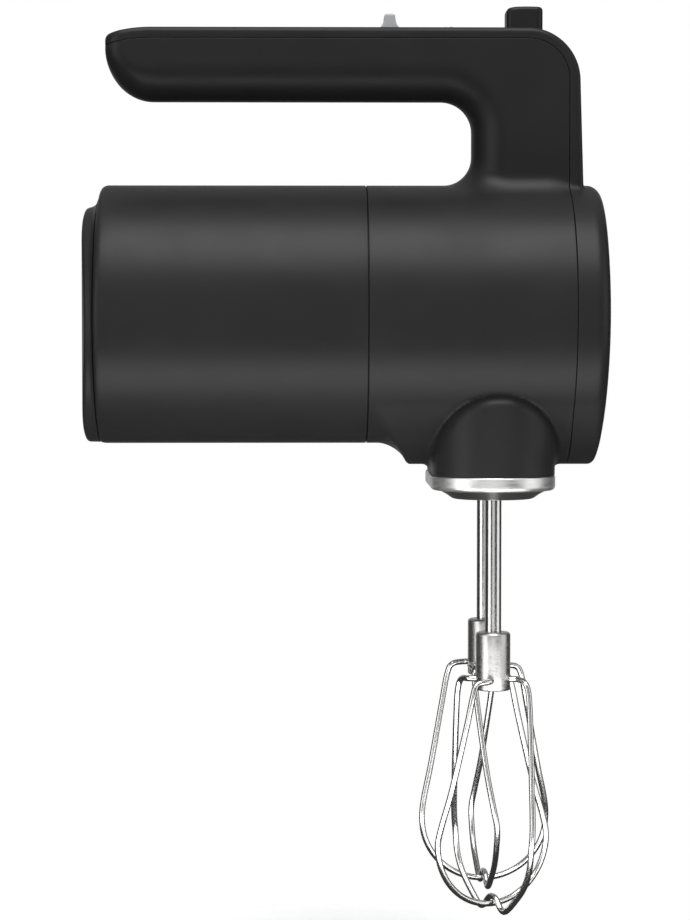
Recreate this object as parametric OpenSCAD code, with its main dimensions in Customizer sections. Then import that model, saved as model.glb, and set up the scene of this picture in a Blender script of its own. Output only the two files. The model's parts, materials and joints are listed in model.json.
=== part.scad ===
// Cordless hand mixer with two intermeshing wire beaters.
// The origin is on the flat heel at the rear, on the motor axis.
// +X points to the front of the mixer, +Z up, and the beaters hang down along -Z.
// "right" is the -Y side and "left" is the +Y side, as seen from behind the handle.

/* [Body] */
// Length from the heel to the nose of the front cover
body_length = 204; // [200:1:210]
// Outer diameter of the round motor barrel
barrel_d = 101; // [100:1:104]
// Thickness of the moulded walls
wall = 2.4; // [2:0.1:2.6]
// Seam between the rear sleeve and the main housing
mid_seam_x = 109.7; // [104:0.1:114]
// Seam between the main housing and the front cover
front_seam_x = 188.4; // [187.5:0.1:189]

/* [Handle] */
// Width of the handle and of the column
handle_w = 30; // [28:1:32]
// Height of the handle bar
handle_h = 28; // [27:0.5:30]
// Height of the finger gap between the handle and the barrel
finger_gap = 32.5; // [30:0.5:36]
// Rear face of the column, which closes the finger gap
column_rear_x = 151; // [149:0.5:152]
// Rear end of the handle
handle_rear_x = 8.2; // [6:0.1:20]
// Radius of the finger gap's two front corners
gap_corner_r = 9.5; // [8:0.5:11]

/* [Drive] */
// Distance from the heel to both beater axes
spindle_x = 158.4; // [158:0.1:159]
// Distance between the two beater axes
spindle_spacing = 50; // [49.6:0.1:50.4]
// Diameter of a beater shaft
shaft_d = 6.3; // [6:0.1:6.5]
// Teeth on each worm wheel
wheel_teeth = 40; // [38:1:42]

/* [Beaters] */
// Lowest point of the beater wires below the motor axis
beater_bottom = 231.4; // [225:0.1:240]
// Diameter of the circle that the wires sweep
beater_d = 53.6; // [50:0.1:54]
// Diameter of the beater wire
wire_d = 2.4; // [2:0.1:2.6]
// Turn of the right beater about its axis at rest
right_beater_turn = 31; // [28:1:34]
// Turn of the left beater about its axis at rest
left_beater_turn = 8; // [5:1:11]

/* [Controls] */
// Travel of the speed slider from off to full speed
slider_travel = 20; // [12:1:20]
// Travel of the eject button
eject_travel = 8; // [6:0.5:8]

/* [Hidden] */
$fn = 64;
seam = 0.2;
tiny = 0.01;

// Barrel and seams
barrel_r = barrel_d / 2;
barrel_in_r = barrel_r - wall;
sleeve_x = 7.6;
rear_seam_x = 5.8;

// Battery pack
cap_r = 46;
cap_z = -4;
cap_t = rear_seam_x - seam;
heel_half_w = 18;
heel_edge = 3;
heel_curve = 300;
cap_edge_r = 6;
case_half = 22;
case_front_x = 77;
case_wall = 2;
cell_r = 9.2;
cell_x0 = 6.5;
cell_len = 65;
cell_off = 9.6;
contact_y = 8;
blade_t = 0.8;
dock_x = 78;
dock_t = 3;
dock_ring_t = 3;
dock_half = 31;

// Handle, column and the cover strip that runs over them
grip_r = handle_w / 2;
handle_z0 = barrel_r + finger_gap;
handle_z1 = handle_z0 + handle_h;
cover_t = 4.3;
grip_top_z = handle_z1 - cover_t;
column_front_x = front_seam_x + cover_t - 0.4;
handle_end_r = 18;
u_step = 9;
step_in = 0.02;
bend_depth = 6;
grip_overrun = 8;
cover_corner_r = 20;
column_foot_z = 30;
gap_x = column_rear_x - gap_corner_r;
gap_z = handle_z0 - gap_corner_r;

// Gear neck, chin, trim ring and socket plate
neck_hx = 24;
neck_hy = 43.5;
neck_r = 23;
neck_wall = 2.2;
neck_z0 = -62;
neck_z1 = -30;
chin_r = 32;
chin_z = -26.9;
chin_x0 = 121;
ring_z0 = -67.8;
ring_step_z = -69;
ring_lip = 0.2;
ring_step = 1.2;
ring_in = neck_wall + 0.8;
plate_bevel = 5.4;
plate_z0 = -71.2;
plate_top_z = -64;
plate_hole_r = 5.4;

// Front cover
nose_r = 330;
nose_edge_r = 5;
chin_edge = 3;
chin_end_x = 197;

// Gear frame
frame_x0 = 130.2;
frame_x1 = 187;
frame_wall = 4;
base_t = 4;
base_half_x = 28.4;
frame_half_w = 22;
frame_z0 = -34;
base_half_w = 30;
frame_top_z = 14;
bridge_t = 4;
bridge_half_w = 38;
bush_tube_r = 8.5;
bush_tube_z0 = -60;
boss_x = 24;
boss_y = 26;
boss_r = 4;
bridge_screw_y = 16;
bridge_screw_x = [frame_x0 + frame_wall / 2, frame_x1 - frame_wall / 2];
motor_screw_z = 11;

// Screws: shank radius, head radius and head height
screw_r = 1.45;
screw_hole_r = 1.5;
screw_head_r = 2.75;
screw_head_t = 2.2;
screw_sink = 2.4;
frame_screw_len = 10;
bridge_screw_len = 11;
motor_screw_len = 5.5;
plate_screw_len = 12;
plate_screw_x = 11;

// Motor
can_r = 21;
can_wall = 1.6;
can_x0 = 86;
motor_boss_r = 7;
bearing_r = 5;
axle_r = 2.5;
axle_bore_r = 2.53;
core_r = 16;
core_x0 = 101;
core_x1 = 121;
core_slots = 10;
core_slot_half_w = 0.8;
core_slot_r = 8;
magnet_in_r = 16.6;
coil_r = 13;
coil_end = 3.4;
brush_x0 = can_x0 + 5.5;
brush_x1 = brush_x0 + 4.5;
brush_half_z = 2.5;
brush_len = 10;
holder_wall = 1.5;
commutator_r = 5.5;

// Worm and worm wheels
mesh_gap = 0.4;
worm_tip_r = 5.4;
worm_root_r = 3.4;
wheel_tip_r = spindle_spacing / 2 - worm_root_r - mesh_gap;
wheel_root_r = spindle_spacing / 2 - worm_tip_r - mesh_gap;
wheel_pitch_r = (wheel_tip_r + wheel_root_r) / 2;
worm_pitch_r = (worm_tip_r + worm_root_r) / 2;
worm_pitch = 2 * PI * wheel_pitch_r / wheel_teeth;
worm_turns = 8;
worm_steps = 16;
thread_tip_w = 0.7;
thread_root_w = 1.3;
wheel_t = 8;
wheel_hub_r = 9;
gap_tip_w = 2.2;
gap_root_w = 1.5;
wheel_twist = 360 * worm_pitch * wheel_t / (4 * PI * PI * worm_pitch_r * wheel_pitch_r);

// Spindles and bushes
spindle_r = 5.5;
spindle_bore_r = shaft_d / 2 + 0.05;
spindle_z0 = -63.5;
spindle_z1 = 18;
bush_r = 7;
bush_bore_r = spindle_r + 0.05;
lower_bush_z0 = -60;
lower_bush_z1 = -50;
drive_lug_z0 = -62;
drive_lug_z1 = -55;
lug_half_w = 4.6;
lug_half_t = 0.8;
lug_slot_half_t = 1.1;
snap_z = -46;
snap_wire_r = 0.5;

// Beaters
shaft_top_z = -30.6;
shaft_tip = 1.5;
shaft_end_z = -140;
collar_r = 6.7;
collar_z1 = -122.7;
collar_z0 = -145.2;
collar_cone = 3;
wire_r = wire_d / 2;
wire_sides = 8;
leg_exit_z = -141;
leg_corner_z = -144;
leg_corner_r = 15.6;
leg_wide_z = -204;
leg_wide_r = beater_d / 2 - wire_r;
leg_exit_lag = 49;
leg_corner_lag = 26;
loop_low_z = wire_r - beater_bottom;
outer_low_z = loop_low_z + 1.6;
hump_z = outer_low_z + wire_d + 0.3;

// Speed slider and control board
knob_x = 118.9;
knob_half_w = 5;
knob_foot = 4.1;
knob_tip = 2.2;
knob_z1 = 117.2;
slot_half_w = 2.6;
slot_end_gap = 1.2;
slider_stem_half = 2.3;
slider_plate_t = 1.6;
slider_plate_half_x = 8;
slider_plate_half_w = 6;
shutter_t = 0.8;
shutter_z1 = grip_top_z - 0.3;
shutter_half_x = slider_travel + slider_stem_half + slot_end_gap + 0.5;
wiper_half_w = 0.8;
wiper_y = 3;
board_x0 = 100;
board_x1 = 162;
board_z = 95;
board_t = 1.6;

// Eject button, rod and fork
button_x = 171.5;
button_half_x = 7.1;
button_half_y = 7;
button_r = 2.4;
button_z0 = 104;
button_z1 = 120;
button_gap = 0.35;
rod_r = 2.5;
guide_z = 88;
guide_t = 3;
guide_half = 7;
spring_r = 4.6;
spring_wire_r = 0.5;
spring_turns = 6;
fork_z = 29;
fork_t = 3;
fork_half_w = 4;
fork_arm_half_w = 5;
pin_r = 2.7;
pin_gap = 0.6;
pin_z0 = shaft_top_z + eject_travel + pin_gap;

// Leads
lead_r = 1.1;
lead_sides = 6;
lead_gap = 0.3;
lead_run = [[116, 0, 35], [134, 0, 39], [150, 0, 41], [157, 0, 42.5], [161.5, 0, 50],
            [162, 0, 64], [162, 0, 80], [160, 0, 88], [160, 0, board_z - lead_gap]];
battery_lead_start = [[dock_x + dock_t + lead_gap, 0, 24], [90, 0, 24], [102, 0, 29]];
motor_lead_start = [[can_x0 - 3.4, 0, 17], [can_x0 - 3.4, 0, 22], [92, 0, 31]];
battery_lead_y = 8;
motor_lead_y = 4;

// ---- shared shapes ----

// Solid or hollow cylinder along X
module xtube(r, x0, x1, bore = 0, y = 0, z = 0) {
  translate([x0, y, z]) rotate([0, 90, 0]) difference() {
    cylinder(r = r, h = x1 - x0);
    if (bore > 0)
      translate([0, 0, -1]) cylinder(r = bore, h = x1 - x0 + 2);
  }
}

// Solid or hollow cylinder along Z
module ztube(r, z0, z1, bore = 0, x = spindle_x, y = 0) {
  translate([x, y, z0]) difference() {
    cylinder(r = r, h = z1 - z0);
    if (bore > 0)
      translate([0, 0, -1]) cylinder(r = bore, h = z1 - z0 + 2);
  }
}

// Box from its low corner to its high corner
module block(low, high) {
  translate(low) cube(high - low);
}

// Flat rectangle with round corners, given by its half sizes
module round_rect(hx, hy, r) {
  square([2 * hx, 2 * (hy - r)], center = true);
  square([2 * (hx - r), 2 * hy], center = true);
  for (sx = [-1, 1], sy = [-1, 1])
    translate([sx * (hx - r), sy * (hy - r)]) circle(r = r);
}

// Round-cornered prism around the spindles, shrunk by inset
module neck_prism(z0, z1, inset = 0) {
  translate([spindle_x, 0, z0]) linear_extrude(height = z1 - z0)
    round_rect(neck_hx - inset, neck_hy - inset, neck_r - inset);
}

// Copies its children at the right (-1) or left (+1) beater axis
module at_spindle(side) {
  translate([spindle_x, side * spindle_spacing / 2, 0]) children();
}

// Copies its children at the four screws that hold the gear frame
module frame_corners() {
  for (sx = [-1, 1], sy = [-1, 1])
    translate([spindle_x + sx * boss_x, sy * boss_y, 0]) children();
}

function unit(v) = v / norm(v);
function tangent(p, i) = unit(p[min(i + 1, len(p) - 1)] - p[max(i - 1, 0)]);

// One side direction for each point of a path, kept square to the path
function side_dirs(p, i = 0, last = [0, 0, 0], out = []) =
  i == len(p) ? out :
  let (t = tangent(p, i),
       seed = i == 0 ? (abs(t[2]) < 0.9 ? [0, 0, 1] : [1, 0, 0]) : last,
       u = unit(seed - t * (seed * t)))
  side_dirs(p, i + 1, u, concat(out, [u]));

// Round tube along a path of points
module tube_along(p, r, sides) {
  u = side_dirs(p);
  n = len(p);
  points = [for (i = [0:n - 1]) let (w = cross(tangent(p, i), u[i]))
            for (k = [0:sides - 1]) let (a = 360 * k / sides)
            p[i] + r * (cos(a) * u[i] + sin(a) * w)];
  walls = [for (i = [0:n - 2], k = [0:sides - 1]) let (m = (k + 1) % sides)
           [i * sides + k, (i + 1) * sides + k, (i + 1) * sides + m, i * sides + m]];
  ends = [[for (k = [0:sides - 1]) k],
          [for (k = [0:sides - 1]) n * sides - 1 - k]];
  polyhedron(points, concat(walls, ends), convexity = 6);
}

// Smooth curve through a list of points, with steps points on each stretch
function curve_point(a, b, c, d, t) =
  0.5 * (2 * b + (c - a) * t + (2 * a - 5 * b + 4 * c - d) * t * t
         + (3 * b - a - 3 * c + d) * t * t * t);
function smooth(p, steps) = concat(
  [for (i = [0:len(p) - 2], s = [0:steps - 1])
   curve_point(p[max(i - 1, 0)], p[i], p[i + 1], p[min(i + 2, len(p) - 1)], s / steps)],
  [p[len(p) - 1]]);

// ---- housings ----

// Half-round U section, open along +Y of the sketch up to depth
module u_section(r, depth) {
  polygon(concat([for (a = [180:u_step:360]) r * [cos(a), sin(a)]], [[r, depth], [-r, depth]]));
}

// The handle bar and the column in one piece, shrunk by inset and open by extra
module grip_form(inset, extra) {
  r = grip_r - inset;
  top = grip_top_z + extra;
  front = front_seam_x - seam / 2 + extra;
  rear = handle_rear_x + inset;
  end_r = handle_end_r - inset;
  difference() {
    translate([rear, 0, handle_z0 + grip_r]) rotate([90, 0, 90])
      linear_extrude(height = gap_x - rear + tiny) u_section(r, top - handle_z0 - grip_r);
    difference() {
      block([rear - 1, -grip_r - 1, handle_z0 - 1],
            [rear + end_r, grip_r + 1, handle_z0 + inset + end_r]);
      translate([rear + end_r, 0, handle_z0 + inset + end_r]) rotate([90, 0, 0])
        cylinder(r = end_r, h = handle_w + 4, center = true);
    }
  }
  // bend between the handle and the column, a hair narrower so that no walls share a plane
  translate([gap_x, 0, gap_z]) rotate([90, 0, 0]) rotate_extrude(angle = 90)
    translate([gap_corner_r + grip_r, 0]) rotate([0, 0, -90]) u_section(r - step_in, bend_depth);
  translate([0, r - 2 * step_in, 0]) rotate([90, 0, 0]) linear_extrude(height = 2 * r - 4 * step_in)
    difference() {
      translate([gap_x, gap_z]) square([front - gap_x, top - gap_z]);
      translate([gap_x, gap_z]) circle(r = gap_corner_r + grip_r + bend_depth / 2);
      cover_corner_cut(extra);
    }
  // column down to the barrel
  translate([column_rear_x + grip_r, 0, column_foot_z]) rotate([0, 0, -90])
    linear_extrude(height = gap_z - column_foot_z + tiny)
      u_section(r, front - column_rear_x - grip_r);
}

// What the rounded top front corner leaves out, in the X and Z plane
module cover_corner_cut(extra) {
  r = cover_corner_r - cover_t;
  cx = front_seam_x - r;
  cz = grip_top_z - r;
  if (extra == 0)
    difference() {
      translate([cx, cz]) square(r + 1);
      translate([cx, cz]) circle(r = r);
    }
}

module main_housing() {
  color([0.16, 0.16, 0.17]) difference() {
    union() {
      xtube(barrel_r, mid_seam_x + seam, front_seam_x - seam / 2);
      xtube(chin_r, chin_x0, front_seam_x - seam / 2, z = chin_z);
      neck_prism(neck_z0, neck_z1);
      grip_form(0, 0);
    }
    difference() {
      union() {
        xtube(barrel_in_r, mid_seam_x, front_seam_x);
        xtube(chin_r - wall, chin_x0 + wall, front_seam_x, z = chin_z);
      }
      frame_corners() ztube(boss_r, frame_z0 - 20, frame_z0, x = 0);
    }
    neck_prism(neck_z0 - 1, neck_z1, neck_wall);
    grip_form(wall, grip_overrun);
    frame_corners() ztube(screw_hole_r, frame_z0 - 8, frame_z0 + 1, x = 0);
  }
}

// Side outline of the cover strip, in the X and Z plane
module strip_outline() {
  r = cover_corner_r;
  difference() {
    union() {
      translate([handle_rear_x, grip_top_z])
        square([column_front_x - r - handle_rear_x, cover_t]);
      translate([front_seam_x + seam / 2, barrel_in_r])
        square([column_front_x - front_seam_x - seam / 2, handle_z1 - r - barrel_in_r]);
      translate([column_front_x - r, handle_z1 - r]) intersection() {
        circle(r = r);
        square(r);
      }
    }
    translate([front_seam_x - r - 10, barrel_in_r - 1])
      square([r + 10 + seam / 2, grip_top_z - r + cover_t - barrel_in_r + 1]);
    translate([front_seam_x + seam / 2 - r + cover_t, grip_top_z - r + cover_t])
      circle(r = r - cover_t);
  }
}

// Front cover profile: distance from the motor axis against distance along it
function nose_x(r) = body_length - nose_r + sqrt(nose_r * nose_r - r * r);
module nose_profile(r_out, edge, inset) {
  x_edge = nose_x(r_out) - edge;
  face = [for (k = [0:6]) let (r = (r_out - edge) * k / 6) [r, nose_x(r) - inset]];
  bend = [for (a = [75:-15:0]) [r_out - edge + (edge - inset) * cos(a),
                                x_edge + (edge - inset) * sin(a)]];
  base = front_seam_x + seam / 2;
  polygon(concat([[0, base - inset]], face, bend, [[r_out - inset, base - inset]]));
}

module nose_form(inset) {
  rotate([0, 90, 0]) rotate_extrude() nose_profile(barrel_r, nose_edge_r, inset);
  translate([0, 0, chin_z]) xtube(chin_r - inset, front_seam_x + seam / 2 - inset, chin_end_x - inset);
  translate([0, 0, chin_z]) rotate([0, 90, 0]) translate([0, 0, chin_end_x - inset])
    cylinder(r1 = chin_r - inset, r2 = chin_r - inset - chin_edge, h = chin_edge);
}

module top_cover() {
  color([0.15, 0.15, 0.16]) difference() {
    union() {
      translate([0, grip_r, 0]) rotate([90, 0, 0])
        linear_extrude(height = handle_w) strip_outline();
      nose_form(0);
    }
    nose_form(wall);
    // slot for the speed slider and its foot
    block([knob_x - slider_stem_half - slot_end_gap, -slot_half_w, grip_top_z - 1],
          [knob_x + slider_travel + slider_stem_half + slot_end_gap, slot_half_w, handle_z1 + 1]);
    // window for the eject button
    translate([button_x, 0, grip_top_z - 10]) linear_extrude(height = 30)
      round_rect(button_half_x + button_gap, button_half_y + button_gap, button_r);
  }
}

module rear_housing() {
  color([0.16, 0.16, 0.17]) difference() {
    union() {
      xtube(barrel_r, sleeve_x, mid_seam_x);
      // sloping shoulder between the barrel and the smaller battery cap
      hull() {
        xtube(barrel_r - 0.4, sleeve_x, sleeve_x + 1);
        xtube(cap_r - 0.4, rear_seam_x, rear_seam_x + 0.1, z = cap_z);
      }
    }
    xtube(barrel_in_r, sleeve_x + 3, dock_x + dock_t);
    xtube(barrel_in_r, dock_x + dock_t + dock_ring_t, mid_seam_x + 1);
    xtube(can_r + 7, dock_x, mid_seam_x + 1);
    block([0, -case_half - 0.3, cap_z - case_half - 0.3],
          [sleeve_x + 4, case_half + 0.3, cap_z + case_half + 0.3]);
  }
}

module trim_ring() {
  color([0.75, 0.75, 0.76]) difference() {
    union() {
      neck_prism(ring_z0, neck_z0, -ring_lip);
      neck_prism(ring_step_z, ring_z0, ring_step);
    }
    neck_prism(ring_step_z - 1, neck_z0 + 1, ring_in);
  }
}

module socket_plate() {
  color([0.68, 0.68, 0.69]) difference() {
    union() {
      neck_prism(ring_z0, plate_top_z, ring_in);
      neck_prism(plate_z0, ring_z0, plate_bevel);
    }
    for (side = [-1, 1]) at_spindle(side)
      ztube(plate_hole_r, plate_z0 - 1, plate_top_z + 1, x = 0);
    for (sx = [-1, 1]) {
      ztube(screw_hole_r, plate_z0 - 1, plate_top_z + 1, x = spindle_x + sx * plate_screw_x);
      ztube(screw_head_r + 0.1, plate_z0 - 1, plate_z0 + screw_sink, x = spindle_x + sx * plate_screw_x);
    }
  }
}

// ---- gear frame and bearings ----

module gear_frame() {
  color([0.62, 0.63, 0.65]) difference() {
    union() {
      block([spindle_x - base_half_x, -base_half_w, frame_z0],
            [spindle_x + base_half_x, base_half_w, frame_z0 + base_t]);
      block([frame_x0, -frame_half_w, frame_z0], [frame_x0 + frame_wall, frame_half_w, frame_top_z]);
      block([frame_x1 - frame_wall, -frame_half_w, frame_z0], [frame_x1, frame_half_w, frame_top_z]);
      for (side = [-1, 1]) at_spindle(side)
        ztube(bush_tube_r, bush_tube_z0, frame_z0 + 1, x = 0);
      // pads that carry the socket plate's two screws
      for (sx = [-1, 1])
        ztube(boss_r, plate_top_z, frame_z0 + 1, x = spindle_x + sx * plate_screw_x);
    }
    for (side = [-1, 1]) at_spindle(side) {
      ztube(spindle_r + 0.8, bush_tube_z0 - 1, frame_z0 + base_t + 1, x = 0);
      ztube(bush_r, lower_bush_z0 - 1, lower_bush_z1, x = 0);
    }
    xtube(motor_boss_r, frame_x0 - 1, frame_x0 + frame_wall + 1);
    xtube(bearing_r, frame_x1 - frame_wall - 1, frame_x1 + 1);
    for (sz = [-1, 1])
      xtube(screw_hole_r, frame_x0 - 1, frame_x0 + frame_wall + 1, z = sz * motor_screw_z);
    frame_corners() ztube(screw_hole_r, frame_z0 - 1, frame_z0 + base_t + 1, x = 0);
    for (x = bridge_screw_x, sy = [-1, 1])
      ztube(screw_hole_r, frame_top_z - 9, frame_top_z + 1, x = x, y = sy * bridge_screw_y);
    for (sx = [-1, 1])
      ztube(screw_hole_r, plate_top_z - 1, plate_top_z + 9, x = spindle_x + sx * plate_screw_x);
  }
}

module gear_bridge() {
  color([0.62, 0.63, 0.65]) difference() {
    block([frame_x0, -bridge_half_w, frame_top_z], [frame_x1, bridge_half_w, frame_top_z + bridge_t]);
    for (side = [-1, 1]) at_spindle(side)
      ztube(bush_r, frame_top_z - 1, frame_top_z + bridge_t + 1, x = 0);
    for (x = bridge_screw_x, sy = [-1, 1])
      ztube(screw_hole_r, frame_top_z - 1, frame_top_z + bridge_t + 1, x = x, y = sy * bridge_screw_y);
  }
}

module lower_bush(side) {
  color([0.72, 0.55, 0.25]) at_spindle(side)
    ztube(bush_r, lower_bush_z0, lower_bush_z1, bore = bush_bore_r, x = 0);
}

module upper_bush(side) {
  color([0.72, 0.55, 0.25]) at_spindle(side)
    ztube(bush_r, frame_top_z, frame_top_z + bridge_t, bore = bush_bore_r, x = 0);
}

module axle_bearing(x0, x1) {
  color([0.7, 0.7, 0.72]) xtube(bearing_r, x0, x1, bore = axle_bore_r);
}

// ---- motor ----

module motor_can() {
  color([0.55, 0.56, 0.58]) difference() {
    union() {
      xtube(can_r, can_x0, frame_x0);
      xtube(motor_boss_r, frame_x0 - 1, frame_x0 + frame_wall);
    }
    xtube(can_r - can_wall, can_x0 - 1, frame_x0 - 2);
    xtube(bearing_r, frame_x0 - 3, frame_x0 + frame_wall + 1);
    for (sz = [-1, 1])
      xtube(screw_hole_r, frame_x0 - 3, frame_x0 + 1, z = sz * motor_screw_z);
  }
}

module motor_end_cap() {
  color([0.2, 0.2, 0.22]) {
    xtube(can_r, can_x0 - 2, can_x0, bore = bearing_r);
    xtube(can_r - can_wall, can_x0, can_x0 + 4, bore = can_r - can_wall - 3);
    xtube(bearing_r + 2, can_x0, can_x0 + 1.5, bore = bearing_r);
    // brush holders
    for (s = [0, 180]) rotate([s, 0, 0]) difference() {
      block([can_x0, commutator_r + 3, -brush_half_z - holder_wall],
            [brush_x1 + holder_wall, commutator_r + 11, brush_half_z + holder_wall]);
      block([brush_x0, commutator_r + 2, -brush_half_z], [brush_x1, commutator_r + 12, brush_half_z]);
    }
  }
}

module motor_magnets() {
  color([0.25, 0.25, 0.26]) difference() {
    xtube(can_r - can_wall, core_x0 - 3, core_x1 + 3, bore = magnet_in_r);
    block([core_x0 - 4, -can_r, -6], [core_x1 + 4, can_r, 6]);
  }
}

module carbon_brushes() {
  color([0.12, 0.12, 0.12]) for (s = [0, 180]) rotate([s, 0, 0])
    block([brush_x0, commutator_r + 0.1, -brush_half_z],
          [brush_x1, commutator_r + brush_len, brush_half_z]);
}

module motor_shaft() {
  color([0.75, 0.75, 0.77]) xtube(axle_r, can_x0 - 3, frame_x1);
}

module rotor_core() {
  color([0.45, 0.46, 0.48]) difference() {
    xtube(core_r, core_x0, core_x1, bore = axle_r);
    for (k = [0:core_slots - 1]) rotate([360 * k / core_slots, 0, 0])
      block([core_x0 - 1, -core_slot_half_w, core_slot_r], [core_x1 + 1, core_slot_half_w, core_r + 1]);
  }
}

module rotor_windings() {
  color([0.72, 0.42, 0.2]) {
    xtube(coil_r, core_x0 - coil_end, core_x0, bore = axle_r);
    xtube(coil_r, core_x1, core_x1 + coil_end, bore = axle_r);
  }
}

module commutator() {
  color([0.78, 0.5, 0.28])
    xtube(commutator_r, can_x0 + 4.5, core_x0 - coil_end, bore = axle_r);
}

// Single-start worm: a plain core with a thin trapezoid thread wound round it
module worm() {
  length = worm_turns * worm_pitch;
  x0 = spindle_x - length / 2;
  rings = worm_turns * worm_steps;
  section = [[-thread_root_w / 2, worm_root_r - 0.3], [-thread_tip_w / 2, worm_tip_r],
             [thread_tip_w / 2, worm_tip_r], [thread_root_w / 2, worm_root_r - 0.3]];
  points = [for (i = [0:rings]) let (a = 360 * i / worm_steps)
            for (s = section)
            [x0 + worm_pitch * i / worm_steps + s[0], s[1] * cos(a), s[1] * sin(a)]];
  walls = [for (i = [0:rings - 1], k = [0:3]) let (m = (k + 1) % 4)
           [i * 4 + m, (i + 1) * 4 + m, (i + 1) * 4 + k, i * 4 + k]];
  color([0.7, 0.7, 0.72]) difference() {
    union() {
      xtube(worm_root_r, x0 - 2, x0 + length + 2);
      polyhedron(points, concat(walls, [[0, 1, 2, 3], [for (k = [3:-1:0]) rings * 4 + k]]),
                 convexity = 10);
    }
    xtube(axle_r, x0 - 3, x0 + length + 3);
  }
}

// ---- spindles and worm wheels ----

// Outline of a worm wheel; half is 1 to start on half a tooth
module wheel_outline(half) {
  step = 360 / wheel_teeth;
  a_root = gap_root_w / 2 / wheel_root_r * 180 / PI;
  a_tip = gap_tip_w / 2 / wheel_tip_r * 180 / PI;
  polygon([for (k = [0:wheel_teeth - 1]) let (a = (k + half / 2) * step)
           for (q = [[wheel_tip_r, -a_tip], [wheel_root_r, -a_root],
                     [wheel_root_r, a_root], [wheel_tip_r, a_tip]])
           q[0] * [cos(a + q[1]), sin(a + q[1])]]);
}

module worm_wheel(side) {
  color([0.9, 0.88, 0.8]) at_spindle(side) difference() {
    union() {
      translate([0, 0, -wheel_t / 2]) rotate([0, 0, -wheel_twist / 2])
        linear_extrude(height = wheel_t, twist = -wheel_twist, slices = 2)
          wheel_outline(side > 0 ? 0 : 1);
      ztube(wheel_hub_r, -wheel_t / 2 - 3, wheel_t / 2 + 3, x = 0);
    }
    ztube(spindle_r, -wheel_t, wheel_t, x = 0);
  }
}

module spindle(side) {
  color([0.66, 0.67, 0.69]) at_spindle(side) difference() {
    ztube(spindle_r, spindle_z0, spindle_z1, bore = spindle_bore_r, x = 0);
    // slot that drives the lugs on the beater shaft
    block([-spindle_r - 1, -lug_slot_half_t, spindle_z0 - 1],
          [spindle_r + 1, lug_slot_half_t, drive_lug_z1 + 0.4]);
    // groove for the snap ring
    difference() {
      ztube(spindle_r + 1, snap_z - snap_wire_r, snap_z + snap_wire_r, x = 0);
      ztube(spindle_r - 2 * snap_wire_r, snap_z - 1, snap_z + 1, x = 0);
    }
  }
}

module snap_ring(side) {
  color([0.8, 0.8, 0.82]) at_spindle(side) difference() {
    ztube(spindle_r, snap_z - snap_wire_r, snap_z + snap_wire_r,
          bore = spindle_r - 2 * snap_wire_r, x = 0);
    block([0, -1.5, snap_z - 1], [spindle_r + 1, 1.5, snap_z + 1]);
  }
}

// ---- beaters ----

module beater_shaft(side) {
  color([0.78, 0.78, 0.8]) at_spindle(side) {
    ztube(shaft_d / 2, shaft_end_z, shaft_top_z - shaft_tip, x = 0);
    translate([0, 0, shaft_top_z - shaft_tip])
      cylinder(r1 = shaft_d / 2, r2 = shaft_d / 2 - shaft_tip, h = shaft_tip);
    block([-lug_half_w, -lug_half_t, drive_lug_z0], [lug_half_w, lug_half_t, drive_lug_z1]);
  }
}

module beater_collar(side) {
  color([0.74, 0.74, 0.76]) at_spindle(side) difference() {
    union() {
      ztube(collar_r, collar_z0, collar_z1 - collar_cone, x = 0);
      translate([0, 0, collar_z1 - collar_cone])
        cylinder(r1 = collar_r, r2 = shaft_d / 2 + 0.6, h = collar_cone);
    }
    ztube(shaft_d / 2, shaft_end_z, collar_z1 + 1, x = 0);
    // drilled seats for the four wire ends
    rotate([0, 0, beater_turn(side)]) for (a = [0:90:270])
      rotate([0, 0, a + lean(side) * leg_exit_lag]) translate([collar_r - 2, 0, leg_exit_z])
        rotate([0, 90, 0]) cylinder(r = wire_r + 0.25, h = 6);
  }
}

function beater_turn(side) = side < 0 ? right_beater_turn : left_beater_turn;
// The legs of the two beaters lean opposite ways
function lean(side) = side < 0 ? 1 : -1;
function polar(r, a, z) = [r * cos(a), r * sin(a), z];

// One leg of a loop, from the collar down to its widest point at azimuth a, leaning by s
function leg(a, s) = [
  polar(collar_r - 1.6, a + s * leg_exit_lag, leg_exit_z),
  polar(collar_r + 3, a + s * leg_exit_lag, leg_exit_z),
  polar(leg_corner_r - 2, a + s * (leg_corner_lag + 3), leg_corner_z + 2.2),
  polar(leg_corner_r, a + s * leg_corner_lag, leg_corner_z - 2),
  polar(leg_corner_r + 1.9, a + s * (leg_corner_lag - 6), leg_corner_z - 14),
  polar(leg_corner_r + 6, a + s * 9, leg_wide_z + 22),
  polar(leg_wide_r, a, leg_wide_z)];

// The bottom of a loop, from one widest point across the axis to the other
function plain_bottom(a) = [for (t = [20:20:160])
  polar(leg_wide_r * cos(t), a, leg_wide_z - (leg_wide_z - outer_low_z) * sin(t))];
function humped_bottom(a) = concat(
  [for (t = [18:16:50]) polar(leg_wide_r * cos(t), a, leg_wide_z - (leg_wide_z - loop_low_z) * sin(t))],
  [polar(9.5, a, loop_low_z + 0.2), polar(6, a, loop_low_z), polar(2.4, a, hump_z - 0.7),
   polar(0, a, hump_z), polar(-2.4, a, hump_z - 0.7), polar(-6, a, loop_low_z),
   polar(-9.5, a, loop_low_z + 0.2)],
  [for (t = [130:16:162]) polar(leg_wide_r * cos(t), a, leg_wide_z - (leg_wide_z - loop_low_z) * sin(t))]);

function reversed(p) = [for (i = [len(p) - 1:-1:0]) p[i]];
function loop_path(a, s, bottom) = smooth(concat(leg(a, s), bottom, reversed(leg(a + 180, s))), 2);

module wire_loop(side, a, bottom) {
  color([0.8, 0.8, 0.82]) at_spindle(side)
    tube_along(loop_path(a, lean(side), bottom), wire_r, wire_sides);
}

module outer_loop(side) {
  a = beater_turn(side);
  wire_loop(side, a, plain_bottom(a));
}

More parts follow.
